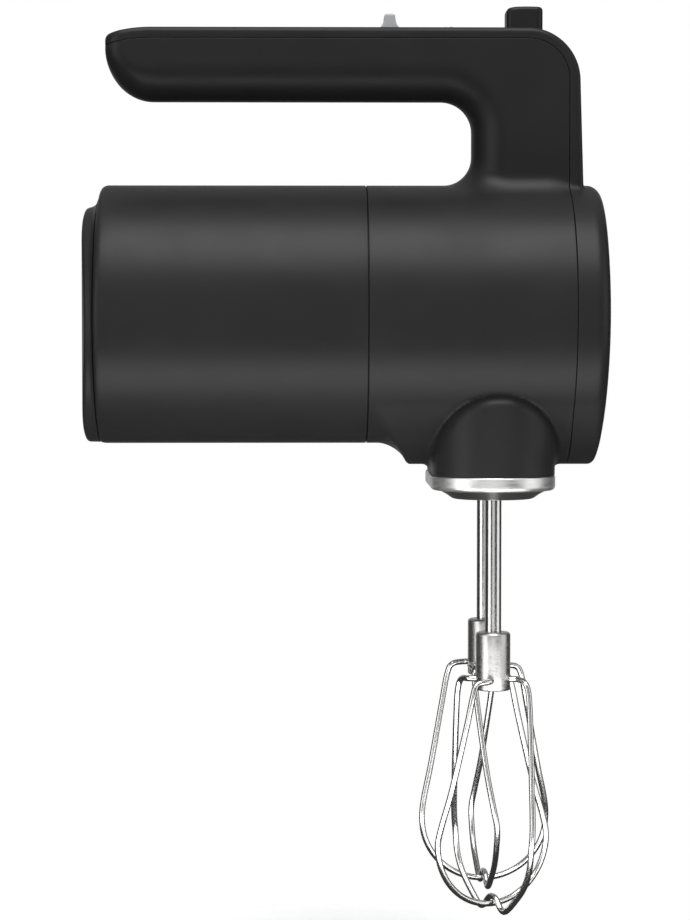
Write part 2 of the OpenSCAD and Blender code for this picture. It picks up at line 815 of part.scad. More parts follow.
module inner_loop(side) {
  a = beater_turn(side) + 90;
  wire_loop(side, a, humped_bottom(a));
}

// ---- battery pack and dock ----

module battery_cap() {
  color([0.15, 0.15, 0.16]) intersection() {
    translate([0, 0, cap_z]) rotate([0, 90, 0]) rotate_extrude()
      polygon(concat([[0, 0]],
                     [for (a = [0:15:90])
                      [cap_r - cap_edge_r * (1 - sin(a)), heel_edge * (1 - cos(a))]],
                     [[cap_r, cap_t], [0, cap_t]]));
    // flat strip down the middle of the heel, curving away to both sides
    translate([0, 0, cap_z - cap_r - 1]) linear_extrude(height = 2 * cap_r + 2)
      polygon(concat([for (y = [-cap_r:4:-heel_half_w]) [heel_fall(y), y]],
                     [for (y = [heel_half_w:4:cap_r]) [heel_fall(y), y]],
                     [[cap_t, cap_r], [cap_t, -cap_r]]));
  }
}

function heel_fall(y) = pow(max(abs(y) - heel_half_w, 0), 2) / heel_curve;

module battery_case() {
  color([0.2, 0.2, 0.21]) difference() {
    block([cap_t, -case_half, cap_z - case_half], [case_front_x, case_half, cap_z + case_half]);
    block([cap_t - 1, case_wall - case_half, cap_z + case_wall - case_half],
          [case_front_x - case_wall, case_half - case_wall, cap_z + case_half - case_wall]);
    // openings for the dock's contact blades
    for (s = [-1, 1])
      block([case_front_x - case_wall - 1, s * contact_y - 2, cap_z - 6],
            [case_front_x + 1, s * contact_y + 2, cap_z + 6]);
  }
}

module battery_cells() {
  color([0.2, 0.45, 0.7]) for (sy = [-1, 1], sz = [-1, 1])
    xtube(cell_r, cell_x0, cell_x0 + cell_len, y = sy * cell_off, z = cap_z + sz * cell_off);
}

module battery_board() {
  x0 = cell_x0 + cell_len;
  color([0.1, 0.4, 0.2])
    block([x0, -case_half + 3, cap_z - case_half + 3], [x0 + 1.4, case_half - 3, cap_z + case_half - 3]);
}

module battery_terminals() {
  x0 = cell_x0 + cell_len + 1.4;
  color([0.8, 0.6, 0.3]) for (s = [-1, 1], t = [-1, 1])
    block([x0, s * contact_y + t * 1.15 - 0.5, cap_z - 4],
          [case_front_x - 0.4, s * contact_y + t * 1.15 + 0.3, cap_z + 4]);
}

module battery_dock() {
  x0 = dock_x;
  color([0.22, 0.22, 0.24]) difference() {
    block([x0, -dock_half, -dock_half], [x0 + dock_t, dock_half, dock_half]);
    xtube(6, x0 - 1, x0 + dock_t + 1);
  }
}

module dock_contacts() {
  color([0.8, 0.6, 0.3]) for (s = [-1, 1])
    block([dock_x - 4, s * contact_y - blade_t / 2 - 0.1, cap_z - 3],
          [dock_x, s * contact_y + blade_t / 2 - 0.1, cap_z + 3]);
}

// Two wires side by side along one route, each y away from the middle
module lead_pair(path, y) {
  for (s = [-1, 1])
    tube_along(smooth([for (p = path) p + [0, s * y, 0]], 2), lead_r, lead_sides);
}

module battery_leads() {
  color([0.7, 0.1, 0.1]) lead_pair(concat(battery_lead_start, lead_run), battery_lead_y);
}

module motor_leads() {
  color([0.1, 0.1, 0.1]) lead_pair(concat(motor_lead_start, lead_run), motor_lead_y);
}

// ---- controls ----

module control_board() {
  half_w = grip_r - wall - 2;
  color([0.1, 0.4, 0.2]) block([board_x0, -half_w, board_z], [board_x1, half_w, board_z + board_t]);
}

// Thumb tab above the slot, stem through the slot and plate below the shutter
module slider_knob() {
  z0 = handle_z1;
  plate_z1 = shutter_z1 - shutter_t;
  color([0.72, 0.73, 0.75]) {
    // thumb tab, wider at its foot than at its tip
    translate([0, knob_half_w, 0]) rotate([90, 0, 0]) linear_extrude(height = 2 * knob_half_w)
      polygon([[knob_x - knob_foot, z0 + 0.3], [knob_x + knob_foot, z0 + 0.3],
               [knob_x + knob_foot - 0.6, z0 + 1.4], [knob_x + knob_tip, knob_z1 - 0.8],
               [knob_x + knob_tip - 0.8, knob_z1], [knob_x - knob_tip + 0.8, knob_z1],
               [knob_x - knob_tip, knob_z1 - 0.8], [knob_x - knob_foot + 0.6, z0 + 1.4]]);
    block([knob_x - slider_stem_half, -slider_stem_half, plate_z1 - 0.1],
          [knob_x + slider_stem_half, slider_stem_half, z0 + 0.4]);
    block([knob_x - slider_plate_half_x, -slider_plate_half_w, plate_z1 - slider_plate_t],
          [knob_x + slider_plate_half_x, slider_plate_half_w, plate_z1]);
  }
}

// Strip that slides with the knob and keeps the slot closed along its whole travel
module slider_shutter() {
  color([0.15, 0.15, 0.16]) difference() {
    block([knob_x - shutter_half_x, -slider_plate_half_w, shutter_z1 - shutter_t],
          [knob_x + shutter_half_x, slider_plate_half_w, shutter_z1]);
    block([knob_x - slider_stem_half, -slider_stem_half, shutter_z1 - shutter_t - 1],
          [knob_x + slider_stem_half, slider_stem_half, shutter_z1 + 1]);
  }
}

module slider_wiper() {
  z1 = shutter_z1 - shutter_t - slider_plate_t;
  color([0.8, 0.6, 0.3]) for (s = [-1, 1])
    block([knob_x - 5, s * wiper_y - wiper_half_w, board_z + board_t + 0.3],
          [knob_x + 1, s * wiper_y + wiper_half_w, z1]);
}

module eject_button() {
  color([0.16, 0.16, 0.17]) translate([button_x, 0, button_z0])
    linear_extrude(height = button_z1 - button_z0)
      round_rect(button_half_x, button_half_y, button_r);
}

module eject_rod() {
  color([0.7, 0.7, 0.72]) ztube(rod_r, fork_z + fork_t, button_z0, x = button_x);
}

module eject_fork() {
  color([0.3, 0.3, 0.32]) {
    block([spindle_x - fork_half_w, -spindle_spacing / 2 - fork_half_w, fork_z],
          [spindle_x + fork_half_w, spindle_spacing / 2 + fork_half_w, fork_z + fork_t]);
    block([spindle_x, -fork_arm_half_w, fork_z],
          [button_x + fork_arm_half_w, fork_arm_half_w, fork_z + fork_t]);
    for (side = [-1, 1]) at_spindle(side)
      ztube(pin_r, pin_z0, fork_z + 1, x = 0);
  }
}

module eject_spring() {
  z0 = guide_z + guide_t + spring_wire_r;
  rise = button_z0 - spring_wire_r - z0;
  steps = spring_turns * 12;
  color([0.8, 0.8, 0.82])
    tube_along([for (i = [0:steps]) let (a = 360 * i / 12)
                [button_x + spring_r * cos(a), spring_r * sin(a), z0 + rise * i / steps]],
               spring_wire_r, 6);
}

module eject_guide() {
  half_w = grip_r - wall - 0.2;
  color([0.3, 0.3, 0.32]) difference() {
    block([button_x - guide_half, -half_w, guide_z],
          [button_x + guide_half, half_w, guide_z + guide_t]);
    ztube(rod_r + 0.08, guide_z - 1, guide_z + guide_t + 1, x = button_x);
  }
}

// ---- screws ----

// Screw along +Z from its head's seat at the origin down to -length
module screw(length) {
  translate([0, 0, -length]) cylinder(r = screw_r, h = length);
  cylinder(r = screw_head_r, h = screw_head_t);
}

module frame_screws() {
  color([0.5, 0.5, 0.52]) frame_corners() translate([0, 0, frame_z0 + base_t]) screw(frame_screw_len);
}

module bridge_screws() {
  color([0.5, 0.5, 0.52]) for (x = bridge_screw_x, sy = [-1, 1])
    translate([x, sy * bridge_screw_y, frame_top_z + bridge_t]) screw(bridge_screw_len);
}

module motor_screws() {
  color([0.5, 0.5, 0.52]) for (sz = [-1, 1])
    translate([frame_x0 + frame_wall, 0, sz * motor_screw_z]) rotate([0, 90, 0]) screw(motor_screw_len);
}

module plate_screws() {
  color([0.5, 0.5, 0.52]) for (sx = [-1, 1])
    translate([spindle_x + sx * plate_screw_x, 0, plate_z0 + screw_sink])
      rotate([180, 0, 0]) screw(plate_screw_len);
}

main_housing();
top_cover();
rear_housing();
trim_ring();
socket_plate();
gear_frame();
gear_bridge();
lower_bush(-1);  // right_lower_bush
lower_bush(1);  // left_lower_bush
upper_bush(-1);  // right_upper_bush
upper_bush(1);  // left_upper_bush
motor_can();
motor_end_cap();
motor_magnets();
carbon_brushes();
axle_bearing(can_x0 - 2, can_x0 + 1.5);  // motor_rear_bearing
axle_bearing(frame_x0 - 2, frame_x0 + frame_wall);  // motor_front_bearing
axle_bearing(frame_x1 - frame_wall, frame_x1);  // worm_end_bearing
control_board();
battery_dock();
dock_contacts();
battery_leads();
motor_leads();
eject_guide();
frame_screws();
bridge_screws();
motor_screws();
plate_screws();
motor_shaft();
rotor_core();
rotor_windings();
commutator();
worm();
worm_wheel(-1);  // right_worm_wheel
spindle(-1);  // right_spindle
snap_ring(-1);  // right_snap_ring
worm_wheel(1);  // left_worm_wheel
spindle(1);  // left_spindle
snap_ring(1);  // left_snap_ring
beater_shaft(-1);  // right_beater_shaft
beater_collar(-1);  // right_beater_collar
outer_loop(-1);  // right_outer_loop
inner_loop(-1);  // right_inner_loop
beater_shaft(1);  // left_beater_shaft
beater_collar(1);  // left_beater_collar
outer_loop(1);  // left_outer_loop
inner_loop(1);  // left_inner_loop
battery_cap();
battery_case();
battery_cells();
battery_board();
battery_terminals();
slider_knob();
slider_shutter();
slider_wiper();
eject_button();
eject_rod();
eject_fork();
eject_spring();
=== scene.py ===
"""Looks of a cordless hand mixer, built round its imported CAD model.

The frame has its origin on the flat heel at the rear, on the motor axis. +X points to the
front, +Z up, and -Y is the side that the camera sees. Lengths are millimetres until a mesh is made,
and metres in the studio at the end.
"""

import json
import math

import bmesh
import bpy
import numpy as np
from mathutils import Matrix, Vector
from mathutils.geometry import tessellate_polygon


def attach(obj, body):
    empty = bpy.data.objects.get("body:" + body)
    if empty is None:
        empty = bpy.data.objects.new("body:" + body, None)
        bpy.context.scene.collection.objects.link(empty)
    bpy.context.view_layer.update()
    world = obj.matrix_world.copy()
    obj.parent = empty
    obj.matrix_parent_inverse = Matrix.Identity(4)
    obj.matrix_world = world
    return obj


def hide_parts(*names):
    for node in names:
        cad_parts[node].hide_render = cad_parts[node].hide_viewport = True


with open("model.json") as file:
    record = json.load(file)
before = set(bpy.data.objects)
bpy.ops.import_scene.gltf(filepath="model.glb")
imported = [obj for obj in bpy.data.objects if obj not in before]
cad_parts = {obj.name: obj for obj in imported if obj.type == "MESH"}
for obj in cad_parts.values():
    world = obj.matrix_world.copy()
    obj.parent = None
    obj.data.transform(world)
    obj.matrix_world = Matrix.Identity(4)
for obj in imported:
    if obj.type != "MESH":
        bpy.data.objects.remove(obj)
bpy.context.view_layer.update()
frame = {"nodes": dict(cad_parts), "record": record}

MM = 0.001

# Points of a mesh that lie closer together than this are made one
WELD = 0.0005

# Width of the cells that the housings' surface is found in
NET_STEP = 0.9

# Barrel and its seams; SEAM_EDGE is the radius of a seam's lip and SEAM_DEPTH how deep it goes
BARREL_R = 50.5
REAR_SHOULDER_X = 6.3
MID_SEAM_X = 109.8
MID_SEAM_TOP_Z = 66.0
FRONT_SEAM_X = 188.4
SEAM_GAP = 0.2
MID_GAP = 0.35
SEAM_EDGE = 0.22
SEAM_DEPTH = 2.0

# Battery pack and its opening
PACK_Z = -4.0
CAP_T = 5.6
CASE_HALF = 22.0
CASE_FRONT_X = 77.0
CASE_WALL = 2.0
OPENING_HALF = 22.3
OPENING_DEPTH_X = 11.0

# Handle and column
GRIP_HALF = 15.0
HANDLE_Z0 = 83.0
HANDLE_TOP_Z = 111.2
HANDLE_REAR_X = 8.2
HANDLE_MID_X = 80.0
HANDLE_REAR_RX = 18.5
HANDLE_REAR_RZ = 20.0
REAR_FALL = 2.9
REAR_FALL_X = 26.0
STRIP_Z = 106.7
STRIP_DROP = 2.6
STRIP_DROP_X = 27.0
COLUMN_REAR_X = 151.0
COLUMN_FRONT_X = 192.9
COLUMN_TAPER = 0.031
COLUMN_TAPER_Z = 91.0
GAP_R = 12.0
GRIP_ROOT_Z = 10.0
COVER_R = 20.0
SEAM_R = 15.7
TOP_EDGE_R = 1.9
TOP_CROWN = 0.0012

# Controls on the handle
BUTTON_X = 171.5
BUTTON_TOP_Z = 120.1
BUTTON_HALF_X = 7.1
BUTTON_HALF_Y = 7.0
BUTTON_R = 2.6
BUTTON_GAP = 0.35
SLOT_X = 128.9
SLOT_HALF_X = 13.6
SLOT_HALF_Y = 2.7
OPENINGS_LOW_Z = 100.0
KNOB_X = 118.9
KNOB_TOP_Z = 117.15

# Chin, neck and front cover
CHIN_R = 32.0
CHIN_Z = -26.9
CHIN_LOW_Z = -58.9
CHIN_REAR_X = 126.0
CHIN_SLOPE = 0.54
CHIN_SLOPE_SCALE = 0.88
CHIN_EDGE = 1.0
CHIN_FILLET = 6.5
NOSE_X = 204.3
NOSE_R = 330.0
SPINDLE_X = 158.4
SPINDLE_Y = 25.0
NECK_HALF_X = 24.0
NECK_HALF_Y = 43.5
NECK_R = 23.0
NECK_ARCH_X = 160.2
NECK_ARCH_Z = -58.9
NECK_ARCH_EDGE = 5.0
NECK_ARCH_R = 28.0
NECK_LEAN = 0.8
NECK_END_Z = -62.2
PLATE_SCREW_OFFSET = 11.0


# ---- distance fields ----


def round_join(a, b, r):
    """Union of two fields with a concave fillet of radius r."""
    fillet = np.hypot(np.maximum(r - a, 0), np.maximum(r - b, 0))
    return np.maximum(r, np.minimum(a, b)) - fillet


def round_meet(a, b, r):
    """Intersection of two fields with an outer rounding of radius r."""
    rounding = np.hypot(np.maximum(r + a, 0), np.maximum(r + b, 0))
    return np.minimum(-r, np.maximum(a, b)) + rounding


def ramp(v, low, high):
    """Smooth rise from 0 at low to 1 at high."""
    t = np.clip((v - low) / (high - low), 0, 1)
    return t * t * (3 - 2 * t)


def round_box(u, v, half_u, half_v, r):
    """Flat field of a rectangle with round corners."""
    a = np.abs(u) - half_u + r
    b = np.abs(v) - half_v + r
    return np.minimum(np.maximum(a, b), 0) + np.hypot(np.maximum(a, 0), np.maximum(b, 0)) - r


def grip_depth(x, z):
    """Distance into the grip from its inner outline: handle underside, rear end and column."""
    rear_a = np.maximum(1 - (x - HANDLE_REAR_X) / HANDLE_REAR_RX, 0)
    rear_b = np.maximum(1 - (z - HANDLE_Z0) / HANDLE_REAR_RZ, 0)
    corner = HANDLE_REAR_RZ * (1 - np.hypot(rear_a, rear_b))
    straight = np.minimum(x - HANDLE_REAR_X, z - HANDLE_Z0)
    rear = np.where((rear_a > 0) & (rear_b > 0), corner, straight)
    gap_a = x - (COLUMN_REAR_X - GAP_R)
    gap_b = z - (HANDLE_Z0 - GAP_R)
    bend = np.hypot(np.maximum(gap_a, 0), np.maximum(gap_b, 0)) - GAP_R
    front = np.where((gap_a > 0) & (gap_b > 0), bend, np.maximum(gap_a, gap_b) - GAP_R)
    return np.where(x < HANDLE_MID_X, rear, front)


def grip_field(x, y, z):
    """Handle bar and column in one, with a half-round inner side."""
    depth = grip_depth(x, z)
    # the rear end has tighter corners
    at_rear = ramp(z, 86, 104) * (1 - ramp(x, 12, 34))
    section_r = GRIP_HALF * (1 - 0.5 * at_rear)
    bar = round_meet(-depth, np.abs(y) - GRIP_HALF, section_r)
    front_x = COLUMN_FRONT_X + (COLUMN_TAPER_Z - z) * COLUMN_TAPER
    top_fall = REAR_FALL * (np.maximum(REAR_FALL_X - x, 0) / (REAR_FALL_X - HANDLE_REAR_X)) ** 2
    outer = round_box_corner(x - front_x, z - HANDLE_TOP_Z + top_fall, COVER_R)
    crown = TOP_CROWN * y * y
    return np.maximum(round_meet(bar, outer + crown, TOP_EDGE_R), GRIP_ROOT_Z - z)


def round_box_corner(a, b, r):
    """Flat field of the quarter plane a < 0, b < 0 with one round corner."""
    over = np.hypot(np.maximum(a + r, 0), np.maximum(b + r, 0))
    return np.minimum(np.maximum(a, b) + r, 0) + over - r


def neck_field(x, y, z):
    """Oblong gear neck under a round arch; its front wall leans out towards the cover."""
    lean = NECK_LEAN * ramp(z, -60, -48)
    wall = round_box(x - SPINDLE_X - lean, y, NECK_HALF_X + lean, NECK_HALF_Y, NECK_R)
    arch = np.hypot(x - NECK_ARCH_X, np.maximum(z - NECK_ARCH_Z, 0)) - NECK_ARCH_R
    return round_meet(wall, arch, NECK_ARCH_EDGE)


def body_field(x, y, z):
    """Whole outside of the housings: barrel, chin, front, grip and neck."""
    barrel = np.hypot(y, z) - BARREL_R
    chin_rear = (CHIN_REAR_X - x - (z - CHIN_LOW_Z) * CHIN_SLOPE) * CHIN_SLOPE_SCALE
    chin = round_meet(np.hypot(y, z - CHIN_Z) - CHIN_R, chin_rear, CHIN_EDGE)
    body = round_join(barrel, chin, CHIN_FILLET)
    nose = np.sqrt((x - NOSE_X + NOSE_R) ** 2 + y * y + z * z) - NOSE_R
    # the front's rim is sharper below than above
    rim = 4.2 - 2.2 * ramp(-z, 30, 56)
    body = round_meet(body, nose, rim)
    # the column's fillet is widest behind, even on the sides and small in front
    cove = 11.0 - 5.0 * ramp(x, 150, 165) - 4.8 * ramp(x, 180, 196)
    body = round_join(body, grip_field(x, y, z), cove)
    # the neck grows out of the barrel with a crease above and a fillet below
    flare = 0.9 + 3.2 * ramp(-z, 42, 53)
    return round_join(body, neck_field(x, y, z), flare)


def front_seam_field(x, y, z):
    """Below 0 behind the seam of the cover strip and the front cover, above 0 in front of it."""
    drop = STRIP_DROP * np.clip((STRIP_DROP_X - x) / (STRIP_DROP_X - HANDLE_REAR_X), 0, 2) ** 2
    return round_box_corner(x - FRONT_SEAM_X, z - STRIP_Z + drop, SEAM_R)


def mid_seam_field(x, y, z):
    """Above 0 only in the barrel behind the middle seam."""
    return np.minimum(MID_SEAM_X - x, MID_SEAM_TOP_Z - z)


# ---- meshes from fields ----


def gradient(field, p):
    """Slope of a field at points, from small steps to both sides."""
    e = 0.01
    steps = np.eye(3) * e
    return np.stack([field(*(p + s).T) - field(*(p - s).T) for s in steps], axis=1) / (2 * e)


def settle(field, p, limit, rounds=5):
    """Moves points on to the surface of a field."""
    for _ in range(rounds):
        g = gradient(field, p)
        move = g * (field(*p.T) / np.maximum((g * g).sum(1), 0.2))[:, None]
        size = np.linalg.norm(move, axis=1, keepdims=True)
        p = p - move * np.minimum(1, limit / np.maximum(size, 1e-9))
    return p


def surface_net(field, low, high, step):
    """Quad mesh of the surface where a field is 0, from one point in each cell that it crosses."""
    axes = [np.arange(low[i], high[i] + step, step) for i in range(3)]
    d = field(*np.meshgrid(*axes, indexing="ij", sparse=True))
    inside = d < 0
    corners = np.array([(i, j, k) for i in (0, 1) for j in (0, 1) for k in (0, 1)])
    n = np.array(d.shape) - 1
    count = sum(inside[i:n[0] + i, j:n[1] + j, k:n[2] + k].astype(np.int8) for i, j, k in corners)
    active = (count > 0) & (count < 8)
    cells = np.argwhere(active)
    number = np.full(active.shape, -1)
    number[active] = np.arange(len(cells))
    values = np.stack([d[tuple((cells + c).T)] for c in corners], axis=1)
    total = np.zeros((len(cells), 3))
    hits = np.zeros((len(cells), 1))
    for a in range(8):
        for b in range(a + 1, 8):
            way = corners[b] - corners[a]
            if np.abs(way).sum() != 1:
                continue
            va, vb = values[:, a:a + 1], values[:, b:b + 1]
            crossed = (va < 0) != (vb < 0)
            t = np.where(crossed, va / np.where(crossed, va - vb, 1), 0)
            total += crossed * (corners[a] + t * way)
            hits += crossed
    points = np.array([a[0] for a in axes]) + step * (cells + total / hits)
    quads = []
    for axis in range(3):
        eb, ec = np.eye(3, dtype=int)[[(axis + 1) % 3, (axis + 2) % 3]]
        near = np.moveaxis(inside, axis, 0)
        changed = np.moveaxis(near[:-1] != near[1:], 0, axis)
        at = np.argwhere(changed)
        fits = np.all((at - eb - ec >= 0) & (at < n), axis=1)
        at = at[fits]
        ring = [number[tuple((at - s).T)] for s in (eb + ec, ec, eb * 0, eb)]
        quad = np.stack(ring, axis=1)
        leaving = inside[tuple(at.T)]
        quads.append(np.where(leaving[:, None], quad, quad[:, ::-1]))
    return settle(field, points, step), np.concatenate(quads)


def cut(points, faces, side, field):
    """Keeps the negative side of a field, and rounds the cut edge inwards into a lip."""
    reach = SEAM_GAP / 2 + SEAM_EDGE
    value = side(*points.T) + reach
    close = np.abs(value) < 0.3 * NET_STEP
    for _ in range(3):
        g = gradient(side, points[close])
        away = (side(*points[close].T) + reach) / np.maximum((g * g).sum(1), 0.2)
        points[close] = settle(field, points[close] - g * away[:, None], 0.2, 2)
    value[close] = 0
    keep = value <= 0
    points = list(points)
    split = {}

    def crossing(i, j):
        if value[i] == 0 or value[j] == 0:
            return i if value[i] == 0 else j
        key = (min(i, j), max(i, j))
        if key not in split:
            t = value[i] / (value[i] - value[j])
            split[key] = len(points)
            points.append(points[i] + t * (points[j] - points[i]))
        return split[key]

    kept = []
    for face in faces:
        if keep[list(face)].all():
            kept.append(list(face))
            continue
        if not keep[list(face)].any():
            continue
        made = []
        for i, j in zip(face, list(face[1:]) + [face[0]]):
            if keep[i]:
                made.append(i)
            if keep[i] != keep[j]:
                made.append(crossing(i, j))
        made = [v for k, v in enumerate(made) if v != made[k - 1]]
        if len(made) > 2:
            kept.append(made)
    on_cut = set(np.flatnonzero(value == 0)) | set(split.values())
    points = np.array(points)
    ways = {(a, b) for f in kept for a, b in zip(f, f[1:] + f[:1])}
    edges = [(a, b) for a, b in ways if a in on_cut and b in on_cut and (b, a) not in ways]
    rim = sorted({v for e in edges for v in e})
    place = {v: k for k, v in enumerate(rim)}
    base = points[rim]
    out = gradient(field, base)
    out /= np.linalg.norm(out, axis=1, keepdims=True)
    along = gradient(side, base)
    along -= out * (along * out).sum(1, keepdims=True)
    along /= np.linalg.norm(along, axis=1, keepdims=True)
    turns = [math.radians(a) for a in (22.5, 45, 67.5, 90)]
    rings = [base + SEAM_EDGE * (math.sin(a) * along - (1 - math.cos(a)) * out) for a in turns]
    rings.append(rings[-1] - SEAM_DEPTH * out)
    last = rim
    for ring in rings:
        first = len(points)
        points = np.concatenate([points, ring])
        now = [first + k for k in range(len(rim))]
        kept += [[last[place[b]], last[place[a]], now[place[a]], now[place[b]]] for a, b in edges]
        last = now
    return points, kept


def used_only(points, faces):
    """Drops the points that no face uses."""
    used = sorted({v for f in faces for v in f})
    new = {v: k for k, v in enumerate(used)}
    return points[used], [[new[v] for v in f] for f in faces]


def add_piece(name, points, faces, body, nodes, slot, material, sharp=None):
    """Makes a welded mesh with outward faces and puts it in the place of CAD nodes.

    Edges sharper than the angle sharp, in degrees, stay crisp.
    """
    mesh = bpy.data.meshes.new(name)
    mesh.from_pydata((np.asarray(points) * MM).tolist(), [], [list(map(int, f)) for f in faces])
    mesh.validate()
    work = bmesh.new()
    work.from_mesh(mesh)
    bmesh.ops.remove_doubles(work, verts=work.verts, dist=WELD * MM)
    bmesh.ops.recalc_face_normals(work, faces=work.faces)
    work.to_mesh(mesh)
    work.free()
    mesh.shade_smooth()
    if sharp is not None:
        mesh.set_sharp_from_angle(angle=math.radians(sharp))
    piece = bpy.data.objects.new(name, mesh)
    bpy.context.scene.collection.objects.link(piece)
    mesh.materials.append(material)
    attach(piece, body)
    if nodes:
        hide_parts(*nodes)
    return piece


def join(*meshes):
    """One list of points and one of faces from several."""
    points, faces = [], []
    for p, f in meshes:
        start = sum(len(q) for q in points)
        points.append(np.asarray(p, float))
        faces += [[v + start for v in face] for face in f]
    return np.concatenate(points), faces


def loft(rings, close_start=False, close_end=False):
    """Mesh through rings that all have the same number of points."""
    count = len(rings[0])
    points = np.concatenate([np.asarray(r, float) for r in rings])
    faces = []
    for i in range(len(rings) - 1):
        for k in range(count):
            m = (k + 1) % count
            faces.append([i * count + k, i * count + m, (i + 1) * count + m, (i + 1) * count + k])
    if close_start:
        faces.append(list(range(count))[::-1])
    if close_end:
        faces.append([(len(rings) - 1) * count + k for k in range(count)])
    return points, faces


def lathe_z(profile, x, y, count=48, **ends):
    """Turned shape about a vertical axis from (radius, height) pairs, from the top down."""
    angles = [2 * math.pi * k / count for k in range(count)]
    rings = [[(x + r * math.cos(a), y - r * math.sin(a), z) for a in angles] for r, z in profile]
    return loft(rings, **ends)


def arc(cx, cy, r, start, end, steps=6):
    """Points on a circle from one angle to another, in degrees."""
    angles = np.radians(np.linspace(start, end, steps + 1))
    return [(cx + r * math.cos(a), cy + r * math.sin(a)) for a in angles]


# ---- materials ----

GRAINS_PER_METRE = 1000 / 0.35


def node_tree(name):
    """New material with its nodes, links and shader."""
    material = bpy.data.materials.new(name)
    material.use_nodes = True
    nodes = material.node_tree.nodes
    return material, nodes, material.node_tree.links, nodes["Principled BSDF"]


def noise(nodes, links, scale, detail, stretch=(1, 1, 1)):
    """Noise in object space; scale counts features per metre."""
    where = nodes.new("ShaderNodeTexCoord")
    mapping = nodes.new("ShaderNodeMapping")
    mapping.inputs["Scale"].default_value = stretch
    texture = nodes.new("ShaderNodeTexNoise")
    texture.inputs["Scale"].default_value = scale
    texture.inputs["Detail"].default_value = detail
    links.new(where.outputs["Object"], mapping.inputs["Vector"])
    links.new(mapping.outputs["Vector"], texture.inputs["Vector"])
    return texture.outputs["Fac"]


def spread(nodes, links, source, low, high, start=0.3, end=0.7):
    """Maps a value from start..end to low..high."""
    node = nodes.new("ShaderNodeMapRange")
    node.inputs["From Min"].default_value = start
    node.inputs["From Max"].default_value = end
    node.inputs["To Min"].default_value = low
    node.inputs["To Max"].default_value = high
    links.new(source, node.inputs["Value"])
    return node.outputs["Result"]


def tint(nodes, links, factor, first, second):
    """Mixes two colours by a factor."""
    mix = nodes.new("ShaderNodeMix")
    mix.data_type = "RGBA"
    mix.inputs["A"].default_value = (*first, 1)
    mix.inputs["B"].default_value = (*second, 1)
    links.new(factor, mix.inputs["Factor"])
    return mix.outputs["Result"]


def bump(nodes, links, shader, height, depth_mm, strength):
    """Fine relief on a shader's surface."""
    node = nodes.new("ShaderNodeBump")
    node.inputs["Distance"].default_value = depth_mm * MM
    node.inputs["Strength"].default_value = strength
    links.new(height, node.inputs["Height"])
    links.new(node.outputs["Normal"], shader.inputs["Normal"])


def edge_wear(nodes, links, low, high):
    """1 on outer edges, 0 elsewhere."""
    geometry = nodes.new("ShaderNodeNewGeometry")
    return spread(nodes, links, geometry.outputs["Pointiness"], 0, 1, low, high)


def moulded_plastic(name, colour, rough, grain=0.5):
    """Plastic from a spark-eroded mould: fine grain, uneven sheen and polished edges."""
    material, nodes, links, shader = node_tree(name)
    fine = noise(nodes, links, GRAINS_PER_METRE, 3)
    broad = noise(nodes, links, 45, 4)
    pale = tuple(min(1, c * 1.18 + 0.002) for c in colour)
    worn = tuple(min(1, c * 1.6 + 0.01) for c in colour)
    mix = nodes.new("ShaderNodeMix")
    mix.data_type = "RGBA"
    mix.inputs["B"].default_value = (*worn, 1)
    links.new(tint(nodes, links, broad, colour, pale), mix.inputs["A"])
    edge = edge_wear(nodes, links, 0.54, 0.6)
    links.new(spread(nodes, links, edge, 0, 0.25, 0, 1), mix.inputs["Factor"])
    links.new(mix.outputs["Result"], shader.inputs["Base Color"])
    links.new(spread(nodes, links, broad, rough - 0.03, rough + 0.04), shader.inputs["Roughness"])
    shader.inputs["Specular IOR Level"].default_value = 0.16
    bump(nodes, links, shader, fine, 0.05, grain)
    return material


def metal(name, colour, rough, grain_mm=0.2, stretch=(1, 1, 1), grain=0.2, dull=0.6):
    """Metal with fine tool marks, cloudy sheen and dull specks."""
    material, nodes, links, shader = node_tree(name)
    marks = noise(nodes, links, 1000 / grain_mm, 2, stretch)
    cloud = noise(nodes, links, 90, 4)
    darker = tuple(c * dull for c in colour)
    shade = spread(nodes, links, cloud, 0, 0.5)
    links.new(tint(nodes, links, shade, colour, darker), shader.inputs["Base Color"])
    shader.inputs["Metallic"].default_value = 1.0
    links.new(spread(nodes, links, marks, rough * 0.8, rough * 1.3), shader.inputs["Roughness"])
    bump(nodes, links, shader, marks, 0.02, grain)
    return material


def circuit_board(name):
    """Green solder mask with paler copper areas."""
    material, nodes, links, shader = node_tree(name)
    areas = noise(nodes, links, 160, 1, (1, 3, 1))
    copper = spread(nodes, links, areas, 0, 1, 0.5, 0.52)
    links.new(tint(nodes, links, copper, (0.01, 0.12, 0.05), (0.02, 0.2, 0.08)),
              shader.inputs["Base Color"])
    shader.inputs["Roughness"].default_value = 0.25
    bump(nodes, links, shader, copper, 0.05, 0.6)
    return material


def cell_wrap(name):
    """Shrink wrap with faint creases round the cell ends."""
    material, nodes, links, shader = node_tree(name)
    crease = noise(nodes, links, 300, 3, (0.3, 1, 1))
    links.new(tint(nodes, links, crease, (0.02, 0.1, 0.3), (0.03, 0.15, 0.42)),
              shader.inputs["Base Color"])
    shader.inputs["Roughness"].default_value = 0.3
    bump(nodes, links, shader, crease, 0.2, 0.4)
    return material


